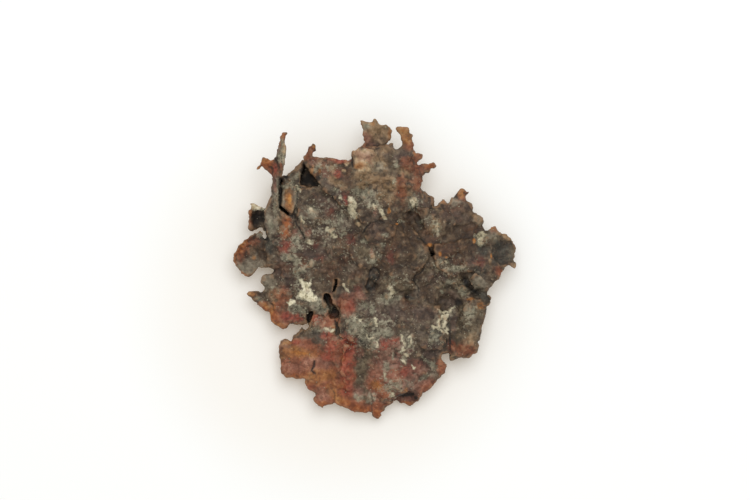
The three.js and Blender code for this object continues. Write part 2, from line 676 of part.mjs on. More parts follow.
// The lower sheet that shows under the south-east edge, with a gap above it.
function undersheet() {
  return leaf({
    outline: [
      [389, 398], [396, 401], [400, 403], [406, 405], [411, 406], [414, 403], [416, 401], [418, 402],
      [419, 399], [424, 390], [418, 374], [396, 374], [384, 392],
    ],
    marks: [
      { x: 410, y: 404, top: 2.0 },
      { x: 418, y: 400, top: 2.4 },
      { x: 396, y: 401, top: 2.3 },
      { x: 406, y: 392, top: 2.2 },
      { x: 402, y: 377, top: 3.9 },
      { x: 416, y: 377, top: 3.8 },
    ],
    relief: 0.15,
    thick: 0.9,
  });
}

// The standing fin on the north-west edge, which runs out into a tall free spire.
function spire() {
  return ribbon(
    [
      { x: 274, y: 214, z: 6.4, half: 0.7, turn: 0, tilt: 62 },
      { x: 275.3, y: 200, z: 7.6, half: 1.5, turn: 0, tilt: 62 },
      { x: 275.8, y: 188, z: 8.0, half: 1.8, turn: 4, tilt: 60 },
      { x: 277.2, y: 178, z: 8.2, half: 1.9, turn: 8, tilt: 58 },
      { x: 279.5, y: 168, z: 8.7, half: 1.75, turn: 8, tilt: 52 },
      { x: 281, y: 159, z: 9.2, half: 1.6, turn: 8, tilt: 46 },
      { x: 282.3, y: 150, z: 9.8, half: 1.35, turn: 8, tilt: 40 },
      { x: 282.5, y: 144, z: 10.3, half: 0.9, turn: 8, tilt: 26 },
      { x: 282.5, y: 139.5, z: 10.6, half: 0.52, turn: 8, tilt: 15 },
      { x: 284, y: 135.4, z: 10.85, half: 0.52, turn: -40, tilt: 8 },
      { x: 288.5, y: 134, z: 11, half: 0.4, turn: -80, tilt: 5 },
    ],
    0.8,
  );
}

// The orange side branch of the spire, with its forked end.
function sideBranch() {
  return leaf({
    outline: [
      [279, 182], [275, 182], [273, 177], [270, 173], [267, 171], [264, 168.5], [261, 167], [259, 170],
      [257, 169], [260, 163], [262, 158], [264, 157], [267, 159], [268, 158], [269.5, 158.5], [270, 161],
      [274, 159], [278, 157], [281, 166],
    ],
    marks: [
      { x: 258, y: 169, top: 6.4 },
      { x: 263, y: 159, top: 8.9 },
      { x: 268, y: 160, top: 9.0 },
      { x: 267, y: 168, top: 7.2 },
      { x: 273, y: 174, top: 7.4 },
      { x: 276, y: 162, top: 9.2 },
      { x: 279, y: 180, top: 7.6 },
    ],
    relief: 0.1,
    reach: 1.3,
    thick: 0.8,
  });
}

// The small hook on the north edge.
function hook() {
  return ribbon(
    [
      { x: 310, y: 164, z: 6.9, half: 1.1, turn: 15, tilt: 15 },
      { x: 309.2, y: 157, z: 7.4, half: 1.05, turn: 5, tilt: 15 },
      { x: 310, y: 152.5, z: 8.0, half: 1.05, turn: -20, tilt: 15 },
      { x: 312.6, y: 149, z: 8.5, half: 0.95, turn: -40, tilt: 12 },
      { x: 315.6, y: 145.6, z: 9.0, half: 0.7, turn: -45, tilt: 10 },
    ],
    0.75,
  );
}

function cutCracks(solid) {
  for (const { outline, floor } of cracks) solid = solid.subtract(prism(outline, floor, ABOVE_ALL));
  return solid;
}

function nugget() {
  let solid = cutCracks(plate().add(northSheet()));
  for (const piece of [
    curledLeaf(), cuppedLeaf(), northLeaf(), orangeLeaf(), undersheet(), spire(), sideBranch(), hook(),
  ])
    solid = solid.add(piece);
  return solid;
}

const copper = new THREE.MeshStandardMaterial({ color: 0x5b4a40, roughness: 0.62, metalness: 0.55 });

const body = new THREE.Mesh(outerSkin(geometryOf(nugget())), copper);
body.name = "nugget";

const group = new THREE.Group();
group.add(body);

export default group;
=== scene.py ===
import itertools
import math

import bmesh
import bpy
import numpy as np
from bpy.props import FloatProperty, FloatVectorProperty, IntProperty, PointerProperty
from mathutils import Matrix, Vector


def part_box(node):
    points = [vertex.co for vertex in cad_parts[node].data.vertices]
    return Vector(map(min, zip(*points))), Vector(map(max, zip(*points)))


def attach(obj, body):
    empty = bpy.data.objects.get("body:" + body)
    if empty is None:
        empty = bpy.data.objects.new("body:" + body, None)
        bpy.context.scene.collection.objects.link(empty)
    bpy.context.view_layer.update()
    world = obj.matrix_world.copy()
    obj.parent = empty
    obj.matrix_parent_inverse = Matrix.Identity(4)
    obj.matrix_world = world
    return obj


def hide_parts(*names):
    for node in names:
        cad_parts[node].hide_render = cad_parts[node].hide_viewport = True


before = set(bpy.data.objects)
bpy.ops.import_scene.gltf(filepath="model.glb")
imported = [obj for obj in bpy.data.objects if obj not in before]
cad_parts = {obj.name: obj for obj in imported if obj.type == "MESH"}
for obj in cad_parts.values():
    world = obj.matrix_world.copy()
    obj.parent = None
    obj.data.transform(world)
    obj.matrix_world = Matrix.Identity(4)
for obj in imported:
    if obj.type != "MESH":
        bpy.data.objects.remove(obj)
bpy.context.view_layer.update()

bl_info = {
    "name": "Copper nugget",
    "version": (1, 0, 0),
    "blender": (4, 5, 0),
    "location": "3D View > Sidebar > Nugget",
    "description": "Dresses a flat nugget of native copper in tarnish, crusts, grains and cracks",
    "category": "Object",
}

# Places on the nugget are given on the plan grid that its outline is drawn on: x runs east, y runs
# south, and the nugget is PLAN_LENGTH steps long. Everything else is in millimetres until the end.
NODE = "nugget"
MM = 0.001
PLAN_LENGTH = 302
PLAN_CENTRE = np.array([375.0, 269.0])
NODE_LOW, NODE_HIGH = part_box(NODE)
STEP = (NODE_HIGH.y - NODE_LOW.y) / PLAN_LENGTH / MM

# Narrow cracks: half width and depth in mm, how dark the painted shade in them is, and the route.
CRACKS = [
    ("fin slit", 0.18, 0.4, 1.0, [(280.5, 180), (280.5, 207)]),
    ("fin slit foot", 0.14, 0.3, 1.0, [(281, 207), (285, 211), (292, 216)]),
    ("block side", 0.1, 0.22, 0.65, [(298, 192), (297, 203), (294, 211), (292, 216)]),
    ("west crack", 0.1, 0.3, 0.8, [(294, 214), (297, 224), (301, 231), (305, 239)]),
    ("curl seam", 0.12, 0.3, 0.8, [(265, 229), (266, 236), (269, 241)]),
    ("north-east crack", 0.1, 0.15, 0.4, [(410, 212), (416, 221), (421, 230)]),
    ("crack head", 0.1, 0.25, 0.75, [(417, 238), (421, 239), (426, 244), (429, 249), (432, 254)]),
    ("middle crack", 0.1, 0.2, 0.8, [(424, 268), (420, 273), (415, 275), (413, 279)]),
    ("middle crack tail", 0.1, 0.22, 0.7, [(413, 279), (417, 285), (419, 292), (417, 297)]),
    ("centre crack", 0.13, 0.35, 0.95, [(363, 233), (366, 228), (371, 223)]),
    ("centre crack tail", 0.1, 0.2, 0.55, [(371, 223), (378, 221), (385, 223)]),
    ("dark arc", 0.1, 0.2, 0.5, [(401, 222), (404, 226), (403, 230)]),
    ("ring top", 0.12, 0.3, 0.85, [(370, 270), (373, 268), (377, 269), (379, 273), (378, 277)]),
    ("ring west", 0.12, 0.25, 0.75, [(370, 270), (369, 278), (367, 286)]),
    ("ring east", 0.12, 0.25, 0.75, [(378, 277), (375, 283), (374, 289)]),
    ("ring foot", 0.16, 0.35, 0.9, [(366, 287), (368, 289), (372, 289)]),
    ("slot foot", 0.12, 0.4, 1.0, [(335, 320), (337, 326), (336, 334)]),
    ("leaf slit", 0.17, 0.35, 0.95, [(314, 361), (314, 366), (312, 370), (315, 373)]),
    ("leaf crease", 0.1, 0.12, 0.35, [(281, 362), (290, 362), (298, 364)]),
    ("lobe seam", 0.1, 0.18, 0.45, [(333, 389), (335, 396), (333, 404)]),
    ("south seam", 0.1, 0.18, 0.4, [(371, 394), (373, 402), (371, 411)]),
    ("lump seam", 0.12, 0.3, 0.75, [(352, 158), (352, 163), (353, 167)]),
    ("fin seam", 0.1, 0.2, 0.7, [(275, 158), (278, 163), (280, 169)]),
    ("leaf root", 0.1, 0.2, 0.45, [(366, 147), (374, 150), (380, 148)]),
    ("brown leaf seam", 0.1, 0.18, 0.4, [(262, 293), (267, 299), (272, 304), (274, 311)]),
    ("grey lobe seam", 0.1, 0.12, 0.4, [(276, 286), (284, 288), (289, 287)]),
    ("slab side", 0.1, 0.25, 0.55, [(450, 330), (449, 341), (450, 350)]),
]

# Small cliffs: the ground is raised on the left of the route by a height in mm that dies away.
LEDGES = [
    ("sheet edge", 0.25, 1.2, [(343, 207), (333, 199), (322, 188)]),
    ("centre plate", 0.25, 1.6, [(378, 222), (392, 214), (409, 212)]),
    ("west plate", 0.3, 1.4, [(300, 240), (312, 243), (326, 238), (336, 228)]),
    ("grey plate", 0.3, 1.4, [(296, 272), (310, 268), (322, 274), (334, 270)]),
    ("red plate", 0.25, 1.6, [(338, 340), (330, 352), (334, 366), (344, 376)]),
    ("crust plate", 0.3, 1.4, [(376, 350), (366, 346), (352, 338), (347, 325), (356, 315)]),
    ("south plate", 0.25, 1.4, [(398, 388), (384, 384), (372, 388)]),
    ("pale ridge", 0.3, 0.5, [(437, 371), (426, 361), (419, 351), (416, 344)]),
    ("leaf plate", 0.15, 1.2, [(296, 377), (300, 368), (296, 358), (284, 352)]),
    ("north-east plate", 0.25, 1.4, [(434, 208), (444, 222), (458, 226), (474, 222)]),
    ("east plate", 0.3, 1.4, [(432, 268), (444, 284), (458, 284)]),
    ("knob rim", 0.35, 1.2, [(510, 262), (500, 264), (492, 258), (492, 246), (500, 240), (508, 242)]),
]

# Round lumps and pits: plan place, radius in mm, height in mm (a pit where negative).
LUMPS = [
    (374, 278, 0.9, 0.7), (432, 254, 0.45, -0.9), (407, 297, 0.5, -0.8), (345, 282, 0.8, 0.3),
    (361, 223, 0.8, 0.3), (330, 248, 1.1, 0.3), (311, 264, 0.6, 0.35), (392, 270, 1.0, 0.25),
    (400, 256, 1.2, 0.3), (388, 296, 0.8, 0.3), (324, 324, 1.3, 0.4), (356, 206, 1.0, 0.35),
    (364, 168, 1.4, 0.35), (446, 228, 1.1, 0.3), (462, 210, 1.1, 0.3), (427, 202, 1.2, 0.35),
    (417, 290, 0.7, 0.35), (444, 318, 1.0, 0.35), (376, 234, 1.3, 0.3), (424, 251, 0.9, 0.35),
    (468, 308, 1.1, 0.35), (472, 326, 1.2, 0.3), (462, 346, 1.0, 0.3), (405, 346, 0.8, 0.3),
    (392, 388, 1.0, 0.3), (376, 350, 1.2, 0.3), (322, 396, 1.3, 0.2), (290, 372, 1.1, 0.2),
    (286, 346, 0.9, 0.2), (267, 281, 1.0, 0.3), (482, 240, 1.0, 0.4), (503, 250, 0.9, 0.3),
    (438, 207, 0.9, 0.25), (352, 258, 1.0, 0.3), (344, 236, 1.0, -0.3), (476, 219, 0.9, 0.3),
    (420, 372, 1.1, 0.3), (402, 322, 1.3, 0.25), (410, 184, 1.1, 0.25), (388, 178, 1.2, 0.25),
    (430, 278, 1.0, 0.3), (444, 272, 0.8, 0.3), (454, 286, 0.8, 0.3), (436, 288, 0.8, 0.3),
    (386, 150, 1.0, 0.3), (404, 156, 1.1, 0.25), (375, 130, 1.0, 0.2), (470, 336, 0.9, 0.3),
]

# Patches of one finish each, and last the patches of painted black shade in the voids, slots, pits and
# crevices: plan place, half length and half width in plan steps, and for some a turn in degrees from east
# towards north.
PATCHES = {
    "umber": [
        (448, 250, 14, 8), (400, 225, 16, 12), (432, 236, 8, 7), (345, 250, 9, 7), (332, 272, 7, 7),
        (388, 252, 6, 7), (426, 290, 7, 7), (286, 300, 8, 7), (290, 228, 6, 7), (318, 200, 10, 6),
        (350, 232, 8, 6), (462, 262, 8, 5), (342, 262, 7, 5), (410, 300, 8, 5), (300, 262, 8, 5),
        (470, 244, 5, 5), (252, 252, 4, 10, -40), (440, 222, 8, 5), (452, 338, 3, 8), (330, 226, 6, 4),
        (404, 360, 5, 5), (402, 242, 24, 18), (380, 262, 12, 10), (470, 236, 10, 8), (462, 254, 14, 8),
        (420, 270, 8, 6), (373, 279, 7, 10), (412, 232, 16, 12), (460, 240, 14, 12), (396, 182, 6, 4),
        (256, 247, 8, 6, -35), (264, 252, 8, 9), (250, 250, 5, 8, -35), (450, 256, 18, 10),
        (398, 234, 14, 10),
    ],
    "plum": [
        (330, 206, 14, 9), (452, 212, 16, 9), (456, 300, 12, 7, -20), (312, 254, 12, 6), (286, 262, 8, 6),
        (290, 284, 8, 6), (390, 312, 20, 8), (420, 314, 12, 9), (430, 350, 12, 8), (402, 356, 10, 8),
        (376, 234, 8, 8), (384, 152, 8, 7), (378, 138, 6, 4), (330, 180, 8, 6), (268, 214, 4, 12),
        (440, 276, 12, 6), (360, 358, 6, 6), (452, 322, 4, 10), (470, 262, 6, 5), (386, 366, 5, 6),
        (410, 382, 12, 8), (430, 202, 5, 5), (340, 192, 5, 4, -40), (402, 158, 8, 9), (392, 148, 6, 5),
        (404, 352, 9, 7), (414, 372, 10, 9), (428, 366, 10, 7), (450, 206, 14, 10), (420, 202, 8, 7),
        (352, 300, 9, 8), (376, 142, 8, 5), (400, 170, 6, 7), (288, 279, 8, 6), (282, 270, 6, 6),
        (300, 247, 6, 4),
    ],
    "olive": [
        (366, 252, 9, 10), (396, 284, 12, 7), (422, 256, 6, 6), (376, 162, 9, 8), (336, 168, 7, 6),
        (392, 196, 9, 7), (466, 308, 9, 8), (468, 326, 9, 9), (458, 338, 6, 8), (440, 268, 10, 5),
        (316, 328, 8, 5), (404, 288, 7, 6), (360, 376, 5, 16, -10), (362, 398, 6, 8), (354, 284, 6, 6),
        (476, 312, 7, 7), (446, 286, 8, 5), (452, 357, 4, 4), (364, 352, 7, 6), (396, 170, 8, 6),
        (438, 208, 5, 6), (492, 238, 7, 5), (370, 360, 4, 10), (362, 362, 6, 12), (507, 238, 8, 4, -25),
        (513, 250, 3, 10), (515, 265, 4, 4), (460, 280, 8, 5), (462, 292, 8, 5), (470, 322, 9, 12),
    ],
    "slate": [
        (501, 253, 10, 11), (483, 252, 5, 6), (483, 297, 7, 4, -30), (466, 282, 3, 6, 20), (436, 334, 8, 7),
        (446, 345, 5, 6), (385, 334, 7, 5), (362, 342, 5, 4), (408, 203, 4, 4), (316, 335, 6, 5),
        (514, 265, 3, 3), (480, 268, 6, 6), (290, 174, 7, 2, 45), (448, 320, 4, 9), (412, 298, 5, 2),
        (326, 298, 4, 5), (262, 237, 5, 3, 20), (373, 277, 4, 7), (369, 287, 3, 3), (270, 246, 6, 6),
        (474, 292, 9, 3, -35),
    ],
    "russet": [
        (447, 250, 11, 7), (458, 262, 8, 4), (318, 242, 8, 5), (330, 270, 9, 8), (392, 252, 6, 12),
        (430, 236, 9, 7), (470, 228, 8, 6), (343, 236, 7, 5), (322, 214, 9, 7), (346, 258, 8, 6),
        (404, 204, 8, 5), (356, 272, 7, 6), (284, 268, 8, 6), (452, 206, 10, 6), (466, 346, 9, 6),
        (404, 306, 8, 5), (300, 260, 9, 5), (346, 176, 6, 6), (284, 300, 8, 6), (418, 212, 6, 6),
        (380, 183, 10, 4), (390, 200, 8, 4),
    ],
    "maroon": [
        (288, 248, 8, 6, 10), (283, 238, 4, 7), (337, 174, 5, 5), (345, 198, 3.5, 8, 10), (366, 134, 5, 4),
        (370, 143, 7, 3, -20), (330, 212, 4, 3), (316, 245, 4, 3), (358, 291, 4, 5),
        (498, 273, 6, 2.5, -45), (404, 353, 6, 5), (450, 345, 3, 4), (480, 262, 6, 5), (320, 258, 4, 3),
        (285, 317, 8, 4), (308, 388, 6, 3, -40), (397, 366, 6, 6), (352, 240, 4, 4), (290, 240, 4, 5),
        (398, 190, 5, 5), (412, 366, 12, 6), (406, 397, 14, 5), (410, 402, 10, 4), (442, 367, 5, 8),
        (391, 258, 3, 6),
    ],
    "pewter": [
        (267, 281, 6, 6), (479, 282, 10, 6, -42), (417, 290, 3, 6), (423, 254, 6, 4, 20),
        (250, 266, 9, 7, 25), (272, 226, 4, 8), (320, 182, 7, 7), (302, 224, 5, 8), (316, 214, 10, 8),
        (344, 222, 7, 7), (306, 272, 6, 4), (326, 240, 7, 7), (352, 268, 6, 5), (340, 290, 5, 4),
        (364, 306, 8, 4), (420, 330, 5, 7), (398, 388, 6, 5), (386, 388, 8, 6), (284, 206, 2.5, 6),
        (296, 196, 2.5, 9), (332, 190, 7, 3, -40), (366, 196, 7, 6), (432, 374, 8, 4, 40), (284, 346, 4, 4),
        (320, 300, 9, 5), (300, 340, 5, 3), (408, 380, 8, 5), (268, 210, 3, 12), (316, 338, 9, 6),
        (390, 304, 12, 5),
    ],
    "tan": [
        (377, 131, 14, 11), (364, 122, 4, 5), (375, 120, 3, 5), (376, 165, 10, 9), (384, 150, 8, 4),
        (515, 266, 3, 3), (329, 168, 6, 7), (336, 182, 8, 4, -40), (388, 186, 12, 9), (406, 172, 8, 6),
        (286, 190, 2, 4), (292, 208, 3, 4), (306, 172, 2, 8, -20), (404, 196, 8, 6), (276, 296, 6, 5),
        (322, 320, 8, 5), (258, 168, 2, 3), (436, 226, 6, 8), (470, 340, 6, 6), (284, 226, 6, 10),
        (372, 178, 12, 7), (384, 196, 10, 5), (362, 186, 6, 4), (476, 217, 7, 2.4, -35), (442, 202, 3, 2),
        (506, 236, 6, 2, -25), (490, 262, 1.6, 3), (364, 176, 10, 5),
    ],
    "ash": [
        (251, 266, 11, 8, 25), (241, 268, 5, 6), (267, 281, 7, 7), (276, 204, 2.6, 12, 5),
        (285, 155, 2.6, 9), (293, 181, 10, 3, 45), (283, 200, 1.6, 12), (296, 199, 1.8, 10),
        (271, 226, 4, 9), (478, 282, 9, 6, -42), (357, 398, 4, 6, 30), (258, 299, 5, 2.5, -40),
        (366, 127, 4, 4, -30), (317, 167, 4, 6, -35), (289, 258, 8, 3), (302, 268, 5, 4), (311, 264, 3, 4),
        (260, 235, 4, 2, 30), (324, 308, 5, 6), (368, 196, 8, 5), (297, 240, 4, 4), (340, 226, 5, 5),
        (354, 322, 7, 7, 30), (374, 338, 7, 6), (386, 332, 6, 4), (388, 300, 8, 5), (312, 212, 5, 5),
        (331, 325, 4, 4), (452, 312, 3, 4), (440, 322, 5, 7), (404, 342, 7, 9), (454, 202, 5, 4),
        (478, 220, 5, 4, -35), (492, 234, 6, 4), (330, 300, 3, 3), (318, 306, 9, 5, -20), (326, 311, 4, 4),
        (268, 218, 3, 10), (276, 222, 3, 6), (378, 168, 6, 5), (468, 312, 6, 5),
    ],
    "buff": [
        (361, 160, 7, 9, 10), (368, 152, 7, 4), (356, 152, 3, 4), (364, 169, 6, 3), (256, 206, 6, 3, -20),
        (328, 323, 4, 3), (347, 163, 3, 3), (344, 171, 2, 2), (358, 224, 3, 2), (405, 355, 1.8, 1.8),
        (373, 257, 2, 3), (284, 151, 1.8, 7), (331, 326, 3, 3), (389, 403, 2, 1.4, 20),
    ],
    "leaf": [
        (306, 362, 24, 15), (292, 366, 13, 11), (326, 378, 18, 16), (322, 398, 10, 9),
        (340, 396, 14, 11, -25), (352, 404, 14, 6, -15), (367, 409, 8, 4), (377, 408, 6, 11),
        (346, 372, 9, 24), (338, 352, 12, 12), (376, 380, 8, 14), (388, 392, 8, 6), (304, 346, 12, 6, -10),
        (394, 378, 10, 8), (441, 366, 4, 7), (328, 322, 8, 6), (346, 304, 8, 9), (426, 386, 9, 4, 40),
        (262, 306, 6, 4, -20), (274, 318, 6, 9), (282, 326, 8, 4),
    ],
    "rose": [
        (292, 368, 10, 5), (312, 363, 10, 8), (322, 399, 8, 7), (304, 343, 6, 3), (376, 376, 9, 10),
        (392, 374, 7, 5), (394, 344, 8, 5), (428, 380, 8, 4, 40), (372, 396, 6, 6), (357, 296, 8, 5),
        (322, 322, 7, 6), (330, 316, 5, 4), (299, 233, 5, 4), (280, 149, 2.5, 4), (276, 186, 2, 7),
        (314, 163, 6, 3), (326, 172, 5, 4), (366, 138, 6, 4, -20), (384, 345, 9, 8), (360, 352, 4, 4),
        (320, 362, 8, 9), (287, 352, 5, 4), (338, 344, 6, 6), (346, 312, 6, 4), (358, 392, 6, 5),
        (284, 345, 4, 5), (410, 376, 10, 6), (360, 158, 4, 5), (375, 212, 2, 4), (372, 254, 2, 4),
        (308, 232, 4, 3), (332, 300, 4, 4), (385, 358, 11, 10), (281, 146, 2, 5), (316, 150, 2, 2),
        (286, 346, 5, 4), (326, 366, 6, 6), (418, 384, 10, 5, 20), (402, 386, 5, 5), (390, 362, 12, 9),
        (414, 374, 14, 8), (384, 372, 8, 8), (396, 392, 5, 4), (414, 389, 8, 3, 10), (346, 300, 6, 6),
        (282, 346, 4, 5), (358, 153, 5, 4), (366, 156, 6, 5), (326, 164, 6, 3),
    ],
    "rust": [
        (417, 170, 6, 12), (428, 166, 9, 4), (420, 156, 5, 4), (410, 146, 5, 6), (462, 197, 5, 5),
        (493, 229, 3, 2.5), (417, 182, 6, 9), (402, 188, 5, 12), (465, 350, 10, 6), (452, 346, 4, 5),
        (282, 296, 9, 7), (278, 306, 6, 7), (310, 345, 8, 5, -20), (318, 353, 6, 4), (296, 341, 6, 3),
        (356, 408, 12, 4, -15), (376, 412, 5, 7), (345, 352, 5, 8), (340, 345, 5, 6), (310, 386, 7, 6, -40),
        (331, 301, 2, 6), (331, 320, 6, 7), (315, 320, 4, 4), (243, 250, 5, 11, -35), (250, 243, 8, 4, 30),
        (274, 316, 5, 8), (266, 164, 7, 6), (272, 171, 5, 8, 30), (284, 137, 3, 5, 30), (308, 156, 3, 4),
        (250, 218, 2, 11), (287, 224, 4, 8), (286, 232, 5, 7), (432, 386, 8, 2, 50), (500, 272, 5, 3, -40),
        (372, 386, 4, 5), (278, 324, 9, 4, -20), (334, 378, 5, 12, 20), (262, 306, 6, 4, -20),
        (310, 159, 9, 1.5), (364, 146, 6, 2, -20), (311, 152, 4, 5, -30), (240, 256, 4, 8, -30),
        (408, 163, 7, 6), (402, 194, 5, 7), (444, 368, 3, 6), (494, 229, 4, 3), (442, 201, 4, 2),
        (388, 403, 5, 4, 30), (383, 396, 6, 4), (462, 192, 3, 4), (467, 192, 3, 2), (281, 166, 2, 5),
        (279, 140, 2, 3), (304, 266, 4, 3),
    ],
    "copper": [
        (345, 360, 3, 7), (272, 314, 3.5, 9), (265, 309, 4, 2.5), (280, 327, 7, 3, -20),
        (262, 161, 5, 3, 20), (268, 163, 5, 4), (284, 135, 3, 2), (287, 222, 3, 5),
        (239, 247, 2.5, 11, -35), (234, 259, 1.6, 6), (244, 275, 7, 1.6, -35), (250, 213, 2, 4),
        (377, 413, 4, 4), (344, 402, 10, 4, -30), (360, 409, 10, 3, -10), (322, 404, 9, 3),
        (296, 377, 12, 3), (415, 150, 2, 5), (379, 386, 4, 5), (430, 166, 6, 3), (286, 231, 3, 5),
        (408, 404, 6, 1.6), (242, 246, 3, 9, -38),
    ],
    "amber": [
        (403, 130, 8, 4), (406, 137, 5, 7), (289, 198, 3.6, 11), (290, 206, 3, 4), (300, 353, 15, 4, -8),
        (288, 353, 8, 5), (316, 377, 9, 6, -30), (326, 376, 9, 6), (336, 394, 11, 5, -45),
        (252, 294, 5, 3, -20), (461, 193, 3, 4), (444, 201, 3, 1.5), (316, 176, 2, 11, -35),
        (263, 160, 4, 3), (259, 168, 2.5, 2.5), (286, 343, 6, 2, 10), (372, 124, 3, 2), (390, 130, 2, 6),
        (492, 228, 3, 1.6), (333, 330, 2, 4), (343, 386, 4, 8, -30), (360, 166, 5, 3), (480, 305, 4, 3),
        (315, 147, 1.6, 2), (298, 351, 15, 4, -8), (306, 384, 4, 3), (312, 172, 1.6, 7, -20),
        (406, 391, 1.5, 3), (402, 393, 1.2, 2.4), (375, 385, 4, 4), (482, 215, 3, 1.6, -35),
        (470, 299, 3, 1.4), (271, 312, 2, 7, -20), (266, 306, 5, 2, -30), (276, 324, 5, 2, -20),
        (241, 244, 2, 8, -40), (254, 258, 2, 2),
    ],
    "cuprite": [
        (327, 334, 6, 5), (331, 348, 5, 9, -15), (327, 357, 6, 4), (346, 340, 5, 5), (352, 348, 6, 7),
        (347, 366, 6, 9), (347, 380, 6, 9), (346, 390, 6, 6), (340, 160, 10, 2), (294, 318, 8, 4),
        (286, 317, 5, 4), (316, 318, 5, 3), (394, 340, 6, 3), (308, 388, 4, 3, -40), (276, 168, 2, 4),
        (296, 342, 4, 2), (388, 384, 3, 3), (287, 248, 5, 4, 10), (338, 174, 3, 3.5), (346, 199, 2, 4, 10),
        (405, 372, 5, 4), (348, 352, 6, 8), (350, 306, 4, 5), (385, 344, 5, 4), (342, 161, 8, 2),
        (335, 160, 5, 1.6),
    ],
    "ochre": [
        (356, 217, 1.8, 1.8), (389, 211, 1.6, 3), (429, 245, 3, 1.8), (440, 254, 1.6, 2.2),
        (446, 257, 2, 1.2), (474, 241, 1.4, 2.6), (397, 224, 1.4, 1), (276, 330, 1, 1),
        (300, 353, 9, 1.6, -8), (491, 256, 0.9, 2.4), (414, 207, 1.2, 1.6), (290, 200, 1.6, 6),
        (355, 216, 2.4, 1.6),
    ],
    "crust": [
        (355, 322, 6, 6, 30), (350, 330, 3, 3), (363, 330, 5, 8), (372, 338, 7, 5), (374, 346, 5, 3),
        (371, 322, 3, 5), (366, 305, 5, 3), (386, 333, 5, 4), (388, 298, 6, 4), (398, 298, 4, 2),
        (330, 308, 3, 4), (322, 306, 5, 4), (316, 302, 5, 4), (304, 313, 3, 5), (296, 308, 6, 3),
        (366, 193, 6, 5), (374, 205, 5, 4), (357, 192, 4, 4), (316, 168, 2.5, 4, -40), (283, 148, 1.6, 7),
        (284, 160, 2, 4), (299, 175, 6, 2, 45), (297, 188, 2.5, 4), (284, 187, 3, 2), (271, 224, 2.5, 5),
        (275, 208, 1.5, 5), (258, 299, 4, 2, -40), (340, 218, 4, 5), (312, 210, 4, 4), (302, 218, 2, 4),
        (290, 257, 6, 3), (309, 242, 4, 2), (297, 237, 3, 3), (302, 270, 5, 3), (311, 264, 2.5, 3.5),
        (363, 242, 4, 2), (372, 262, 5, 3), (383, 245, 2, 2), (385, 235, 4, 2), (400, 221, 2, 2.5),
        (389, 388, 6, 4), (392, 395, 3, 3), (357, 398, 2, 4, 30), (480, 240, 5, 5), (447, 262, 3, 2),
        (462, 268, 4, 2), (464, 293, 4, 3), (435, 336, 4, 5), (431, 341, 2, 3), (410, 340, 2, 6),
        (428, 362, 9, 1.5, -42), (470, 312, 5, 4), (366, 126, 3, 3, -30), (396, 165, 3, 3),
        (394, 183, 2, 4), (336, 190, 3, 2, -40), (300, 248, 3, 2), (328, 222, 4, 2), (344, 234, 4, 2, 30),
        (372, 310, 2, 5), (393, 356, 1.2, 4), (324, 330, 6, 2), (279, 196, 1.2, 12), (291, 184, 5, 4),
        (280, 156, 2, 6), (278, 183, 1.4, 5), (283, 143, 1.4, 4), (414, 203, 6, 7), (440, 262, 3, 3),
        (420, 222, 2, 2), (395, 385, 7, 6), (386, 366, 3, 5), (404, 358, 3, 5), (426, 376, 7, 2, 30),
        (433, 366, 3, 5, 40), (437, 229, 4, 6), (371, 398, 4, 4), (293, 250, 4, 3), (297, 262, 4, 4),
        (455, 268, 7, 3), (449, 282, 4, 2), (442, 292, 2, 2), (462, 290, 4, 4), (322, 308, 7, 4, -30),
        (296, 240, 5, 5), (300, 233, 4, 3), (287, 258, 6, 4), (298, 272, 4, 4),
    ],
    # Painted black shade in the voids, slots, pits and crevices, where the light doesn't reach.
    "void_shade": [
        (308, 179, 8, 5), (303, 171, 2.5, 8, -10), (312, 182, 6, 3, -45), (256, 219, 5, 8),
        (262, 216, 3, 6), (280, 192, 1.4, 14), (282, 180, 2.5, 3), (326, 298, 3, 4), (334, 311, 3, 4, -30),
        (335, 286, 1.6, 5, -15), (308, 316, 2.4, 5), (432, 254, 1.8, 2), (407, 297, 2.5, 1.6),
        (458, 302, 4, 4), (466, 283, 1.6, 5, 15), (474, 291, 6, 1.6, -30), (450, 342, 1.2, 8),
        (286, 177, 3, 1.6), (266, 239, 3, 1.6), (286, 212, 5, 1, -38), (406, 395, 9, 2, 4),
        (416, 398, 2, 2), (372, 288, 2, 1.6), (318, 178, 3, 4),
    ],
}

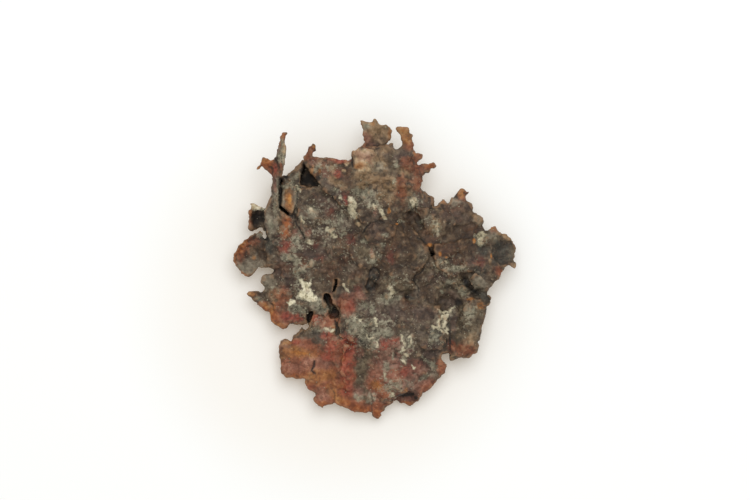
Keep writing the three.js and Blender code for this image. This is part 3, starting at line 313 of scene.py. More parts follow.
# Hard mineral, white and duller cream: patches with a drawn outline, and streaks with a half width in
# plan steps.
WHITE_PATCHES = [
    [(299, 281), (303, 279), (306, 283), (311, 281), (310, 288), (313, 294), (318, 300), (314, 302),
     (306, 300), (297, 297), (299, 293), (303, 289), (301, 285)],
    [(287, 303), (291, 300), (296, 300), (295, 303), (290, 306)],
    [(250, 203), (253, 204), (265, 208), (266, 210), (252, 209)],
]
CREAM_PATCHES = [
    [(348, 196), (353, 197), (357, 204), (356, 210), (358, 217), (353, 219), (350, 214), (347, 209),
     (350, 204)],
    [(388, 285), (391, 287), (396, 291), (394, 294), (390, 297), (390, 292)],
    [(409, 199), (416, 198), (418, 204), (413, 208), (409, 204)],
    [(475, 235), (480, 232), (486, 234), (483, 237), (480, 241), (484, 244), (480, 246), (477, 243),
     (478, 239)],
]
CREAM_STREAKS = [
    (1.0, [(437, 309), (443, 312), (449, 311), (454, 308)]),
    (1.6, [(449, 313), (445, 318), (444, 324), (446, 330), (448, 333)]),
    (1.1, [(444, 316), (439, 319), (438, 324), (441, 328)]),
    (1.1, [(433, 326), (437, 328), (444, 332)]),
    (0.8, [(402, 334), (402, 340), (405, 345), (404, 349)]),
    (1.6, [(401, 351), (404, 349)]),
    (0.8, [(409, 337), (412, 338), (411, 342), (410, 347)]),
    (1.5, [(375, 318), (376, 325)]),
    (1.5, [(327, 229), (331, 232), (335, 237)]),
    (1.0, [(344, 284), (346, 288), (349, 292)]),
    (1.3, [(381, 206), (382, 213), (385, 219)]),
    (1.2, [(374, 205), (375, 209)]),
    (1.2, [(437, 223), (438, 229)]),
    (0.9, [(405, 354), (407, 356)]),
    (0.9, [(402, 359), (405, 363)]),
    (0.7, [(412, 365), (414, 368)]),
    (1.1, [(301, 216), (302, 220), (303, 223)]),
    (1.2, [(308, 242), (311, 243)]),
    (0.9, [(384, 373), (385, 377), (385, 381)]),
    (1.0, [(391, 393), (392, 396)]),
    (0.8, [(326, 328), (331, 331), (334, 329)]),
    (1.0, [(311, 208), (313, 212)]),
    (0.9, [(366, 335), (370, 339), (374, 336)]),
    (0.9, [(378, 340), (376, 346)]),
    (0.9, [(355, 316), (360, 320)]),
    (0.9, [(298, 186), (300, 191)]),
    (1.2, [(340, 197), (341, 199)]),
    (0.9, [(393, 182), (395, 185)]),
    (1.0, [(268, 269), (271, 272)]),
    (1.1, [(445, 262), (448, 261)]),
    (0.8, [(262, 216), (264, 218)]),
]

# Places whose face is smoother than the rest.
SMOOTH_PLACES = [
    (306, 362, 26, 18), (326, 390, 20, 16), (479, 282, 11, 7, -42), (289, 200, 7, 15), (250, 262, 12, 12),
    (267, 281, 7, 7), (377, 131, 15, 12), (404, 136, 8, 12), (500, 252, 12, 12), (272, 210, 6, 26),
    (264, 166, 9, 9), (286, 176, 8, 8), (324, 178, 10, 10), (456, 212, 14, 12), (354, 400, 16, 10),
    (388, 150, 9, 7), (362, 161, 10, 11), (282, 152, 5, 16), (470, 320, 12, 20),
]

# Where the fine pale flecks lie thickest.
FLECK_CLOUDS = [
    (300, 240, 22, 16), (330, 230, 22, 18), (360, 330, 26, 20), (312, 210, 14, 12), (365, 200, 18, 12),
    (392, 384, 20, 14), (302, 266, 16, 10), (372, 306, 16, 8), (318, 320, 14, 10), (278, 205, 6, 18),
    (408, 345, 14, 14), (326, 170, 12, 10), (348, 252, 14, 12), (440, 278, 16, 10), (302, 310, 14, 8),
    (470, 316, 12, 12), (318, 222, 26, 22), (346, 206, 20, 14), (400, 280, 16, 10), (380, 330, 30, 24),
    (446, 268, 20, 10), (300, 290, 20, 18), (434, 338, 10, 8), (376, 250, 14, 10), (284, 154, 4, 10),
    (430, 222, 10, 8),
]

# Random fields of the relief and of the drawn edges: wave in mm, and seed.
NOISES = {
    "lumps": (2.6, 1),
    "blocks": (2.4, 21),
    "small blocks": (1.1, 22),
    "domes": (1.5, 23),
    "grain": (0.75, 31),
    "crumple": (1.6, 41),
    "fine crumple": (0.7, 42),
    "wander": (1.3, 61),
    "mineral edge": (0.6, 71),
    "crust edge": (0.9, 72),
    "mineral rise": (0.55, 73),
    "crust rise": (0.5, 74),
    "mineral wander": (0.8, 75),
    "mineral width": (1.1, 76),
}

# Numbers that turn the place of a cell of space into its random numbers.
WORD = 0xFFFFFFFF
HALF_WORD = 0x7FFFFFFF
KEY_FACTOR = 0x45D9F3B
CELL_FACTORS = np.array([73856093, 19349663, 83492791])
SEED_FACTOR = 977
TURN_FACTOR = 40503
AXIS_SEEDS = 11
NOISE_GAIN = 1.5  # brings the noise to about -1 to 1
OCTAVE_SHARE = 0.55  # strength of each finer octave

# Blocky cells, in shares of their wave.
BLOCK_BEND = 0.3
BLOCK_BEND_WAVE = 0.8
BLOCK_BEND_SEED = 5
CENTRE_STRAY = 0.42
BLOCK_SLOPE = 0.14
GROOVE_WIDTH = 0.1
GROOVE_DEPTH = 0.5
SMALL_BLOCKS = 0.6  # their height as a share of the large blocks' height
DOME_REACH = 0.7
DOME_RISE = 0.7
DOME_SPREAD = 0.5
DOME_BASE = 0.4

# Drawn relief: how far it wanders in mm, where a ledge ends in reaches, and a crack's walls and
# painted shade in half widths.
WANDER = 0.22
LEDGE_END = 2
CRACK_TOP = 2
CRACK_FOOT = 0.3
CRACK_SHADE_EDGE = 2.2
CRACK_SHADE_FULL = 0.5

# The hard mineral and the crust: how ragged, how wide and how high they are, in mm where it is a size.
MINERAL_WANDER = 0.4
MINERAL_WIDTH_SPREAD = 0.75
MINERAL_WIDTHS = (0.25, 1.9)
MINERAL_SLOPE = 0.9
MINERAL_EDGE = (0.35, 0.65)
MINERAL_RAGGED = 0.2
MINERAL_RISE = 0.12
MINERAL_ROUGH = 0.1
CRUST_EDGE = (0.45, 0.7)
CRUST_RAGGED = 0.3
CRUST_RISE = 0.08
CRUST_ROUGH = 0.16
CRUST_HALO = 0.62  # how strongly crust surrounds the hard mineral

JOIN_DISTANCE = 0.002  # in mm, between split corners that are one
TINY = 1e-6

# Smoothing of the net: how alike the normals of one face are, and each round's share.
LIKE_NORMALS = (0.55, 0.9)
RELAX_PULL = 0.5
RELAX_PUSH = 0.51
SPREAD_RATE = 0.6
LAST_RELAX = 0.25

# The upper face and the underside, by the upward part of their normals, and what differs on them.
UPPER_FACE = (0.1, 0.6)
UNDER_FACE = (0.1, -0.3)
UNDER_SHIFT = np.array([6.0, -5.0])  # the underside's patches lie this far from the upper ones
UNDER_FLECKS = 0.25

# Smooth places: where they begin and are whole, and the share of the rough relief that they lose.
CALM_EDGE = (0.3, 0.6)
CALM_SHARE = 0.6
FINE_CRUMPLE = 1.2  # as a share of the coarse crumple

# Hollows and grooves: rounds that spread the surface out, and the depth in mm that counts as whole.
BROAD_ROUNDS = 24
NEAR_ROUNDS = 5
HOLLOW_DEPTH = 0.35
GROOVE_FULL_DEPTH = 0.1


def tone(red, green, blue):
    """A display colour from 0 to 255 as the linear colour that materials use."""
    values = []
    for part in (red, green, blue):
        share = part / 255
        values.append(share / 12.92 if share <= 0.04045 else ((share + 0.055) / 1.055) ** 2.4)
    return tuple(values)


# Arrays of points: the plan, smooth steps and repeatable noise

def plan(points):
    """Plan places as millimetres east and north of the nugget's middle."""
    steps = np.asarray(points, dtype=float) - PLAN_CENTRE
    return steps * np.array([STEP, -STEP])


def smooth_step(low, high, values):
    share = np.clip((values - low) / (high - low), 0, 1)
    return share * share * (3 - 2 * share)


def scramble(key):
    key = key & WORD
    for _ in range(2):
        key = ((key ^ (key >> 16)) * KEY_FACTOR) & WORD
    return key ^ (key >> 16)


def cell_numbers(cells, seed, count):
    """Repeatable numbers from -1 to 1 for each whole-number cell of space."""
    key = scramble(cells @ CELL_FACTORS + SEED_FACTOR * seed)
    numbers = []
    for turn in range(count):
        key = scramble(key + TURN_FACTOR * (turn + 1))
        numbers.append(key / HALF_WORD - 1)
    return np.stack(numbers, axis=1)


def soft_noise(points, wave, seed):
    """Smooth noise from about -1 to 1, with features about one wave long in mm."""
    places = points / wave
    cell = np.floor(places).astype(np.int64)
    part = places - cell
    blend = part ** 3 * (part * (part * 6 - 15) + 10)
    total = np.zeros(len(points))
    for corner in itertools.product((0, 1), repeat=3):
        gradient = cell_numbers(cell + np.array(corner), seed, 3)
        value = (gradient * (part - corner)).sum(axis=1)
        weight = np.where(corner, blend, 1 - blend).prod(axis=1)
        total += weight * value
    return total * NOISE_GAIN


def layered_noise(points, wave, seed, octaves=3):
    total = np.zeros(len(points))
    for octave in range(octaves):
        total += OCTAVE_SHARE ** octave * soft_noise(points, wave / 2 ** octave, seed + octave)
    return total


def noise_vectors(points, wave, seed):
    return np.stack([soft_noise(points, wave, seed + AXIS_SEEDS * axis) for axis in range(3)], axis=1)


def broken_blocks(points, wave, seed):
    """Blocky cells: each point's cell number from -1 to 1, and its distance from the cell's border."""
    bend = noise_vectors(points, wave * BLOCK_BEND_WAVE, seed + BLOCK_BEND_SEED)
    places = (points + BLOCK_BEND * wave * bend) / wave
    home = np.floor(places).astype(np.int64)
    nearest = np.full(len(points), np.inf)
    second = np.full(len(points), np.inf)
    number = np.zeros(len(points))
    for step in itertools.product((-1, 0, 1), repeat=3):
        cell = home + np.array(step)
        numbers = cell_numbers(cell, seed, 4)
        away = np.linalg.norm(places - (cell + 0.5 + CENTRE_STRAY * numbers[:, :3]), axis=1)
        closer = away < nearest
        second = np.where(closer, nearest, np.minimum(second, away))
        number = np.where(closer, numbers[:, 3], number)
        nearest = np.where(closer, away, nearest)
    return number, (second - nearest) * wave


# Fields drawn on the plan

def route_distance(places, route, closed=False):
    """Distance in mm to a route of plan points, and which side of it each place is on."""
    points = plan(route)
    ends = np.roll(points, -1, axis=0) if closed else points[1:]
    least = np.full(len(places), np.inf)
    side = np.zeros(len(places))
    for start, end in zip(points, ends):
        run = end - start
        share = np.clip(((places - start) @ run) / (run @ run), 0, 1)
        offset = places - start - share[:, None] * run
        away = np.linalg.norm(offset, axis=1)
        closer = away < least
        side = np.where(closer, np.sign(run[0] * offset[:, 1] - run[1] * offset[:, 0]), side)
        least = np.where(closer, away, least)
    return least, side


def inside_outline(places, outline):
    points = plan(outline)
    inside = np.zeros(len(places), dtype=bool)
    for (ax, ay), (bx, by) in zip(points, np.roll(points, -1, axis=0)):
        if ay == by:
            continue
        crosses = (ay > places[:, 1]) != (by > places[:, 1])
        inside ^= crosses & (places[:, 0] < ax + (places[:, 1] - ay) / (by - ay) * (bx - ax))
    return inside


def patch_field(places, patches):
    """1 in the middle of a patch, one half on its edge and 0 at twice its size."""
    field = np.zeros(len(places))
    for x, y, length, width, *turn in patches:
        offset = places - plan((x, y))
        angle = math.radians(turn[0] if turn else 0)
        along = offset @ np.array([math.cos(angle), math.sin(angle)]) / (length * STEP)
        across = offset @ np.array([-math.sin(angle), math.cos(angle)]) / (width * STEP)
        field = np.maximum(field, 1 - np.hypot(along, across) / 2)
    return field


def mineral_field(points, outlines, streaks):
    """The same measure for the hard mineral, with edges that wander."""
    places = points[:, :2] + MINERAL_WANDER * noise_vectors(points, *NOISES["mineral wander"])[:, :2]
    width = 1 + MINERAL_WIDTH_SPREAD * layered_noise(points, *NOISES["mineral width"], octaves=2)
    width = np.clip(width, *MINERAL_WIDTHS)
    field = np.zeros(len(places))
    for outline in outlines:
        away = route_distance(places, outline, closed=True)[0]
        signed = np.where(inside_outline(places, outline), away, -away)
        field = np.maximum(field, np.clip(0.5 + signed / MINERAL_SLOPE, 0, 1))
    for half, route in streaks:
        away = route_distance(places, route)[0]
        field = np.maximum(field, 1 - away / (2 * half * STEP * width))
    return field


def wandering(points):
    """The points' plan places, strayed a little so that drawn lines aren't too even."""
    return points[:, :2] + WANDER * noise_vectors(points, *NOISES["wander"])[:, :2]


# The skin's mesh

def solid_in_mm(name):
    """A copy of a node's solid, in mm, with its split corners joined."""
    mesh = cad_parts[name].data.copy()
    work = bmesh.new()
    work.from_mesh(mesh)
    bmesh.ops.scale(work, vec=Vector((1, 1, 1)) / MM, verts=work.verts)
    bmesh.ops.remove_doubles(work, verts=work.verts, dist=JOIN_DISTANCE)
    work.to_mesh(mesh)
    work.free()
    return mesh


def voxel_skin(mesh, name, settings):
    """The solid as an even net of small faces, a little coarser where it is flat."""
    piece = bpy.data.objects.new(name, mesh)
    bpy.context.scene.collection.objects.link(piece)
    remesh = piece.modifiers.new("voxels", "REMESH")
    remesh.mode = "VOXEL"
    remesh.voxel_size = settings.voxel
    piece.modifiers.new("fewer faces", "DECIMATE").ratio = settings.kept_faces
    graph = bpy.context.evaluated_depsgraph_get()
    skin = bpy.data.meshes.new_from_object(piece.evaluated_get(graph))
    piece.modifiers.clear()
    piece.data = skin
    bpy.data.meshes.remove(mesh)
    return piece


def read_points(mesh):
    points = np.empty(len(mesh.vertices) * 3)
    mesh.vertices.foreach_get("co", points)
    return points.reshape(-1, 3)


def write_points(mesh, points):
    mesh.vertices.foreach_set("co", points.ravel())
    mesh.update()


def read_normals(mesh):
    normals = np.empty(len(mesh.vertices) * 3)
    mesh.vertex_normals.foreach_get("vector", normals)
    return normals.reshape(-1, 3)


def read_edges(mesh):
    edges = np.empty(len(mesh.edges) * 2, dtype=np.int64)
    mesh.edges.foreach_get("vertices", edges)
    return edges.reshape(-1, 2)


def neighbour_mean(values, edges, weights=None):
    """The mean of each vertex's neighbours, each edge with its own weight."""
    weights = np.ones(len(edges)) if weights is None else weights
    flat = values.reshape(len(values), -1)
    size = len(flat)
    first, second = edges[:, 0], edges[:, 1]
    share = np.bincount(first, weights, size) + np.bincount(second, weights, size)
    means = []
    for column in flat.T:
        total = np.bincount(first, weights * column[second], size)
        total += np.bincount(second, weights * column[first], size)
        means.append(np.where(share > TINY, total / np.maximum(share, TINY), column))
    return np.stack(means, axis=1).reshape(values.shape)


def relaxed(points, normals, edges, rounds):
    """Points smoothed within a face but not across a rim, and pushed out again to keep their volume."""
    likeness = (normals[edges[:, 0]] * normals[edges[:, 1]]).sum(axis=1)
    weights = smooth_step(*LIKE_NORMALS, likeness)
    for _ in range(rounds):
        points = points + RELAX_PULL * (neighbour_mean(points, edges, weights) - points)
        points = points - RELAX_PUSH * (neighbour_mean(points, edges, weights) - points)
    return points


def spread(values, edges, rounds):
    for _ in range(rounds):
        values = (1 - SPREAD_RATE) * values + SPREAD_RATE * neighbour_mean(values, edges)
    return values


def plan_relief(points):
    """Height to add to the upper face: drawn ledges, lumps and cracks."""
    places = wandering(points)
    height = np.zeros(len(points))
    for _, rise, reach, route in LEDGES:
        away, side = route_distance(places, route)
        slope = rise * np.exp(-away / reach) * smooth_step(LEDGE_END * reach, 0, away)
        height += np.where(side > 0, slope, 0)
    for x, y, radius, rise in LUMPS:
        away = np.linalg.norm(places - plan((x, y)), axis=1) / radius
        height += rise * np.exp(-away ** 2)
    for _, half, depth, _, route in CRACKS:
        away = route_distance(places, route)[0]
        height -= depth * smooth_step(CRACK_TOP * half, CRACK_FOOT * half, away)
    return height


# Painted shade in the cracks: how dark each point is, from each crack's darkness and route.
def crack_shade_field(points):
    places = wandering(points)
    field = np.zeros(len(points))
    for _, half, _, dark, route in CRACKS:
        away = route_distance(places, route)[0]
        field = np.maximum(field, dark * smooth_step(CRACK_SHADE_EDGE * half, CRACK_SHADE_FULL * half, away))
    return field


def block_relief(points, wave, seed):
    """Flat-topped cells at different heights, with a groove between them."""
    number, border = broken_blocks(points, wave, seed)
    groove = GROOVE_DEPTH * smooth_step(GROOVE_WIDTH * wave, 0, border)
    return number * smooth_step(0, BLOCK_SLOPE * wave, border) - groove


def dome_relief(points, wave, seed):
    """Low round domes of different heights, side by side."""
    number, border = broken_blocks(points, wave, seed)
    slope = np.clip(border / (DOME_REACH * wave), 0, 1)
    return (DOME_RISE + DOME_SPREAD * number) * (1 - (1 - slope) ** 2) - DOME_BASE


def rough_relief(points, settings):
    """Height of the lumps, blocks, domes and grain, lower where the metal is smooth."""
    push = settings.lump_height * layered_noise(points, *NOISES["lumps"], octaves=2)
    push += settings.block_height * block_relief(points, *NOISES["blocks"])
    push += SMALL_BLOCKS * settings.block_height * block_relief(points, *NOISES["small blocks"])
    push += settings.dome_height * dome_relief(points, *NOISES["domes"])
    push += settings.grain_height * layered_noise(points, *NOISES["grain"], octaves=2)
    calm = smooth_step(*CALM_EDGE, patch_field(points[:, :2], SMOOTH_PLACES))
    return push * (1 - CALM_SHARE * calm)


def mineral_rise(points, upper):
    """Height of the hard mineral, which stands a little proud of the upper face."""
    field = mineral_field(points, WHITE_PATCHES + CREAM_PATCHES, CREAM_STREAKS)
    ragged = MINERAL_RAGGED * soft_noise(points, *NOISES["mineral edge"])
    cover = smooth_step(*MINERAL_EDGE, field + ragged) * upper
    return cover * (MINERAL_RISE + MINERAL_ROUGH * soft_noise(points, *NOISES["mineral rise"]))


def crust_rise(points, upper):
    """Height of the rough crust on the upper face."""
    ragged = CRUST_RAGGED * layered_noise(points, *NOISES["crust edge"])
    cover = smooth_step(*CRUST_EDGE, patch_field(points[:, :2], PATCHES["crust"]) + ragged) * upper
    return cover * (CRUST_RISE + CRUST_ROUGH * soft_noise(points, *NOISES["crust rise"]))


def carve(mesh, settings):
    """Turns the smooth net into crumpled, blocky, pitted metal and returns its points and edges."""
    edges = read_edges(mesh)
    points = relaxed(read_points(mesh), read_normals(mesh), edges, settings.smoothing)
    write_points(mesh, points)
    normals = read_normals(mesh)
    upper = smooth_step(*UPPER_FACE, normals[:, 2])
    points[:, 2] += upper * plan_relief(points)
    push = rough_relief(points, settings)
    push += mineral_rise(points, upper)
    push += crust_rise(points, upper)
    points += normals * push[:, None]
    points += settings.crumple * noise_vectors(points, *NOISES["crumple"])
    points += FINE_CRUMPLE * settings.crumple * noise_vectors(points, *NOISES["fine crumple"])
    points = points + LAST_RELAX * (neighbour_mean(points, edges) - points)
    points[:, 2] = np.maximum(points[:, 2], 0)
    write_points(mesh, points)
    return points, edges


def depth_field(points, normals, edges, rounds, full):
    """How far each point lies under the surface round it, from -1 on a crest to 1 in a hollow."""
    around = spread(points, edges, rounds)
    return np.clip(-((points - around) * normals).sum(axis=1) / full, -1, 1)


def finish_fields(points, edges, normals):
    """One field per finish, for the material to break up further; some fields place painted shade in voids,
    cracks, hollows and grooves and painted highlight on crests.
    """
    under = smooth_step(*UNDER_FACE, normals[:, 2])
    places = points[:, :2] + under[:, None] * UNDER_SHIFT
    fields = {name: patch_field(places, patches) for name, patches in PATCHES.items()}
    fields["white"] = mineral_field(points, WHITE_PATCHES, []) * (1 - under)
    fields["cream"] = mineral_field(points, CREAM_PATCHES, CREAM_STREAKS) * (1 - under)
    hard = np.maximum(fields["white"], fields["cream"])
    fields["crust"] = np.maximum(fields["crust"], CRUST_HALO * smooth_step(0, 0.5, hard))
    fields["flecks"] = np.maximum(patch_field(places, FLECK_CLOUDS), UNDER_FLECKS * under)
    fields["crack"] = crack_shade_field(points) * (1 - under)
    fields["hollow"] = depth_field(points, normals, edges, BROAD_ROUNDS, HOLLOW_DEPTH)
    fields["groove"] = depth_field(points, normals, edges, NEAR_ROUNDS, GROOVE_FULL_DEPTH)
    return fields


def write_field(mesh, name, values):
    attribute = mesh.attributes.new(name, "FLOAT", "POINT")
    attribute.data.foreach_set("value", values.astype(np.float32))


# Shader nodes

def find_input(node, name):
    """An input of a node by its place, such as n2, or by its name with _ for a space."""
    if name[0] == "n" and name[1:].isdigit():
        return node.inputs[int(name[1:])]
    return node.inputs[name.replace("_", " ")]


def add_node(tree, kind, settings=None, **inputs):
    """A new node with its settings, and its inputs linked or set."""
    node = tree.nodes.new(kind)
    for name, value in (settings or {}).items():
        setattr(node, name, value)
    for name, value in inputs.items():
        socket = find_input(node, name)
        if isinstance(value, bpy.types.NodeSocket):
            tree.links.new(value, socket)
        elif socket.type == "RGBA" and len(value) == 3:
            socket.default_value = (*value, 1)
        else:
            socket.default_value = value
    return node


def new_group(name, inputs, outputs):
    """An empty node group with named sockets, and its input and output nodes."""
    tree = bpy.data.node_groups.new(name, "ShaderNodeTree")
    for label, kind, default in inputs:
        socket = tree.interface.new_socket(label, in_out="INPUT", socket_type=kind)
        socket.default_value = (*default, 1) if kind == "NodeSocketColor" else default
    for label, kind in outputs:
        tree.interface.new_socket(label, in_out="OUTPUT", socket_type=kind)
    return tree, tree.nodes.new("NodeGroupInput"), tree.nodes.new("NodeGroupOutput")


def add_math(tree, operation, first, second, third=None):
    inputs = {"n0": first, "n1": second}
    if third is not None:
        inputs["n2"] = third
    return add_node(tree, "ShaderNodeMath", {"operation": operation}, **inputs).outputs[0]


def add_ramp(tree, value, low, high):
    """A smooth step of a value, from 0 at low to 1 at high."""
    settings = {"interpolation_type": "SMOOTHSTEP"}
    return add_node(tree, "ShaderNodeMapRange", settings, n0=value, n1=low, n2=high).outputs[0]


def add_mix(tree, share, first, second):
    settings = {"data_type": "RGBA"}
    return add_node(tree, "ShaderNodeMix", settings, n0=share, n6=first, n7=second).outputs[2]


def add_blend(tree, share, first, second):
    settings = {"data_type": "FLOAT"}
    return add_node(tree, "ShaderNodeMix", settings, n0=share, n2=first, n3=second).outputs[0]


def add_noise(tree, wave, detail=3.0, roughness=0.55, offset=0.0):
    """Noise over the object, with features about one wave long in mm; the offset makes it another one."""
    place = add_node(tree, "ShaderNodeTexCoord").outputs["Object"]
    if offset:
        shift = add_node(
            tree, "ShaderNodeVectorMath", {"operation": "ADD"}, n0=place, n1=(offset, offset, offset)
        )
        place = shift.outputs[0]
    scale = 1 / (wave * MM) if isinstance(wave, (int, float)) else add_math(tree, "DIVIDE", 1 / MM, wave)
    return add_node(
        tree, "ShaderNodeTexNoise", Vector=place, Scale=scale, Detail=detail, Roughness=roughness
    ).outputs["Fac"]


def add_group(tree, group, **inputs):
    return add_node(tree, "ShaderNodeGroup", {"node_tree": group}, **inputs)


def read_field(tree, name):
    return add_node(tree, "ShaderNodeAttribute", {"attribute_name": name}).outputs["Fac"]


# Effects that the materials share

# Cloudy blotches in the shades of every finish: wave in mm, weight, detail, roughness and offset.
BLOTCHES = [
    (0.55, 0.22, 2.0, 0.5, 0.13),
    (2.6, 0.35, 3.0, 0.55, 0.0),
    (1.2, 0.43, 3.0, 0.55, 0.31),
]
SHADE_RANGE = (0.36, 0.64)  # of the blotches' sum, from the darkest tone to the lightest

# Flecks: the wave of their swarms in mm, what swarms and density add to a spot, and a fleck's edge.
SWARM_WAVE = 2.2
SWARM_PULL = 0.35
DENSITY_PULL = 0.16
FLECK_EDGE = (0.7, 0.8)


def ragged_mask_group():
    """A field cut off at one half, with a ragged edge."""
    tree, given, result = new_group(
        "Ragged mask",
        [
            ("Field", "NodeSocketFloat", 0.0),
            ("Grain", "NodeSocketFloat", 1.0),
            ("Raggedness", "NodeSocketFloat", 0.5),
            ("Softness", "NodeSocketFloat", 0.1),
        ],
        [("Mask", "NodeSocketFloat")],
    )
    noise = add_noise(tree, given.outputs["Grain"], detail=5.0, roughness=0.65)
    noise = add_math(tree, "SUBTRACT", noise, 0.5)
    field = add_math(tree, "MULTIPLY_ADD", noise, given.outputs["Raggedness"], given.outputs["Field"])
    low = add_math(tree, "SUBTRACT", 0.5, given.outputs["Softness"])
    high = add_math(tree, "ADD", 0.5, given.outputs["Softness"])
    tree.links.new(add_ramp(tree, field, low, high), result.inputs["Mask"])
    return tree


def shades_group():
    """One value from 0 to 1 all over: cloudy blotches with finer blotches in them."""
    tree, _, result = new_group("Shades", [], [("Shade", "NodeSocketFloat")])
    total = 0.0
    for wave, weight, detail, roughness, offset in BLOTCHES:
        blotch = add_noise(tree, wave, detail, roughness, offset)
        total = add_math(tree, "MULTIPLY_ADD", blotch, weight, total)
    tree.links.new(add_ramp(tree, total, *SHADE_RANGE), result.inputs["Shade"])
    return tree


def three_tones_group():
    """A dark, a middle and a light tone, mixed by a shade from 0 to 1."""
    tree, given, result = new_group(
        "Three tones",
        [
            ("Dark", "NodeSocketColor", (0.1, 0.1, 0.1)),
            ("Middle", "NodeSocketColor", (0.3, 0.3, 0.3)),
            ("Light", "NodeSocketColor", (0.5, 0.5, 0.5)),
            ("Shade", "NodeSocketFloat", 0.5),
        ],
        [("Color", "NodeSocketColor")],
    )
    shade = given.outputs["Shade"]
    colour = add_mix(tree, add_ramp(tree, shade, 0.0, 0.5), given.outputs["Dark"], given.outputs["Middle"])
    colour = add_mix(tree, add_ramp(tree, shade, 0.5, 1.0), colour, given.outputs["Light"])
    tree.links.new(colour, result.inputs["Color"])
    return tree


def flecks_group():
    """Small irregular flecks that come in swarms; the density from 0 to 1 says how many."""
    tree, given, result = new_group(
        "Flecks",
        [("Wave", "NodeSocketFloat", 1.0), ("Density", "NodeSocketFloat", 0.5)],
        [("Mask", "NodeSocketFloat")],
    )
    swarm = add_math(tree, "SUBTRACT", add_noise(tree, SWARM_WAVE, detail=2.0, offset=0.17), 0.5)
    spot = add_noise(tree, given.outputs["Wave"], detail=2.5, roughness=0.6, offset=0.07)
    spot = add_math(tree, "MULTIPLY_ADD", swarm, SWARM_PULL, spot)
    spot = add_math(tree, "MULTIPLY_ADD", given.outputs["Density"], DENSITY_PULL, spot)
    tree.links.new(add_ramp(tree, spot, *FLECK_EDGE), result.inputs["Mask"])
    return tree


def shared_groups():
    """The node groups that both materials use, built once."""
    makers = {
        "Ragged mask": ragged_mask_group,
        "Shades": shades_group,
        "Three tones": three_tones_group,
        "Flecks": flecks_group,
    }
    return {name: bpy.data.node_groups.get(name) or make() for name, make in makers.items()}


def add_tones(tree, groups, dark, middle, light, shade):
    """The colour that a shade from 0 to 1 picks between three tones."""
    return add_group(
        tree, groups["Three tones"], Dark=dark, Middle=middle, Light=light, Shade=shade
    ).outputs["Color"]


def add_mask(tree, groups, field, grain, raggedness, softness):
    """A ragged mask of one of the skin's fields."""
    return add_group(
        tree, groups["Ragged mask"], Field=read_field(tree, field), Grain=grain, Raggedness=raggedness,
        Softness=softness,
    ).outputs["Mask"]


def new_material(name):
    material = bpy.data.materials.new(name)
    material.use_nodes = True
    material.node_tree.nodes.clear()
    return material, material.node_tree


# Materials

# Layers over the tarnish, from the lowest to the highest: field, dark, middle and light tone,
# edge grain in mm, raggedness, softness, cover and roughness.
LAYERS = [
    ("umber", (38, 23, 12), (56, 39, 24), (76, 57, 38), 2.0, 2.0, 0.3, 0.8, 0.68),
    ("plum", (56, 43, 38), (76, 60, 52), (98, 81, 72), 2.0, 2.2, 0.3, 0.7, 0.66),
    ("olive", (60, 52, 38), (86, 75, 57), (114, 102, 80), 1.8, 2.2, 0.28, 0.7, 0.7),
    ("slate", (36, 35, 29), (56, 54, 46), (80, 77, 66), 1.8, 1.8, 0.26, 0.85, 0.6),
    ("russet", (58, 36, 23), (78, 52, 35), (98, 70, 51), 1.6, 2.2, 0.34, 0.7, 0.64),
    ("maroon", (76, 36, 28), (98, 51, 40), (118, 70, 55), 1.4, 2.0, 0.34, 0.75, 0.62),
    ("pewter", (86, 76, 64), (106, 94, 80), (130, 118, 102), 1.5, 2.0, 0.3, 0.6, 0.66),
    ("tan", (108, 86, 59), (139, 113, 83), (161, 137, 107), 1.6, 1.6, 0.34, 0.78, 0.66),
    ("ash", (98, 91, 76), (128, 120, 103), (152, 144, 126), 1.3, 1.8, 0.3, 0.72, 0.72),
    ("buff", (154, 129, 98), (186, 161, 127), (208, 190, 160), 1.0, 1.2, 0.22, 0.88, 0.75),
    ("leaf", (114, 64, 41), (136, 79, 53), (157, 100, 72), 1.5, 1.1, 0.26, 0.94, 0.6),
    ("rose", (110, 71, 58), (136, 93, 77), (160, 121, 103), 1.6, 1.8, 0.34, 0.6, 0.62),
    ("rust", (98, 52, 32), (125, 70, 45), (148, 95, 66), 1.5, 1.8, 0.34, 0.75, 0.6),
    ("copper", (120, 64, 30), (148, 84, 42), (170, 110, 66), 1.3, 1.6, 0.34, 0.75, 0.52),
    ("amber", (120, 75, 36), (152, 100, 52), (174, 127, 76), 1.2, 1.3, 0.36, 0.78, 0.58),
    ("cuprite", (104, 42, 30), (138, 61, 45), (156, 83, 62), 1.2, 1.5, 0.36, 0.8, 0.58),
    ("ochre", (138, 84, 34), (168, 108, 48), (186, 134, 72), 0.6, 0.7, 0.24, 0.85, 0.7),
    ("crust", (102, 99, 83), (132, 129, 110), (166, 162, 141), 0.7, 2.4, 0.24, 0.68, 0.85),
    ("cream", (148, 139, 113), (182, 173, 146), (206, 198, 172), 0.6, 1.7, 0.28, 0.95, 0.85),
    ("white", (174, 166, 136), (219, 212, 184), (231, 224, 201), 0.6, 1.7, 0.26, 0.97, 0.85),
]
MINERALS = ("crust", "cream", "white")
TARNISH_ROUGHNESS = 0.66
SKIN_SPECULAR = 0.35
BUMP_WAVE = 0.4  # in mm
BUMP_STRENGTH = 0.5
BUMP_HEIGHT = 0.06  # in mm

# Pale flecks all over: wave in mm, cover and tone.
PALE_FLECKS = [
    (1.5, 0.4, (128, 122, 104)),
    (0.9, 0.5, (142, 137, 117)),
    (0.55, 0.55, (168, 162, 140)),
]
# Dark flecks: the share of the surface that they are on, wave in mm, density, cover and tone.
DARK_FLECKS = [
    ("bare", 0.8, 0.3, 0.4, (40, 31, 23)),
    ("leaf", 0.5, 1.1, 0.6, (88, 50, 34)),
]
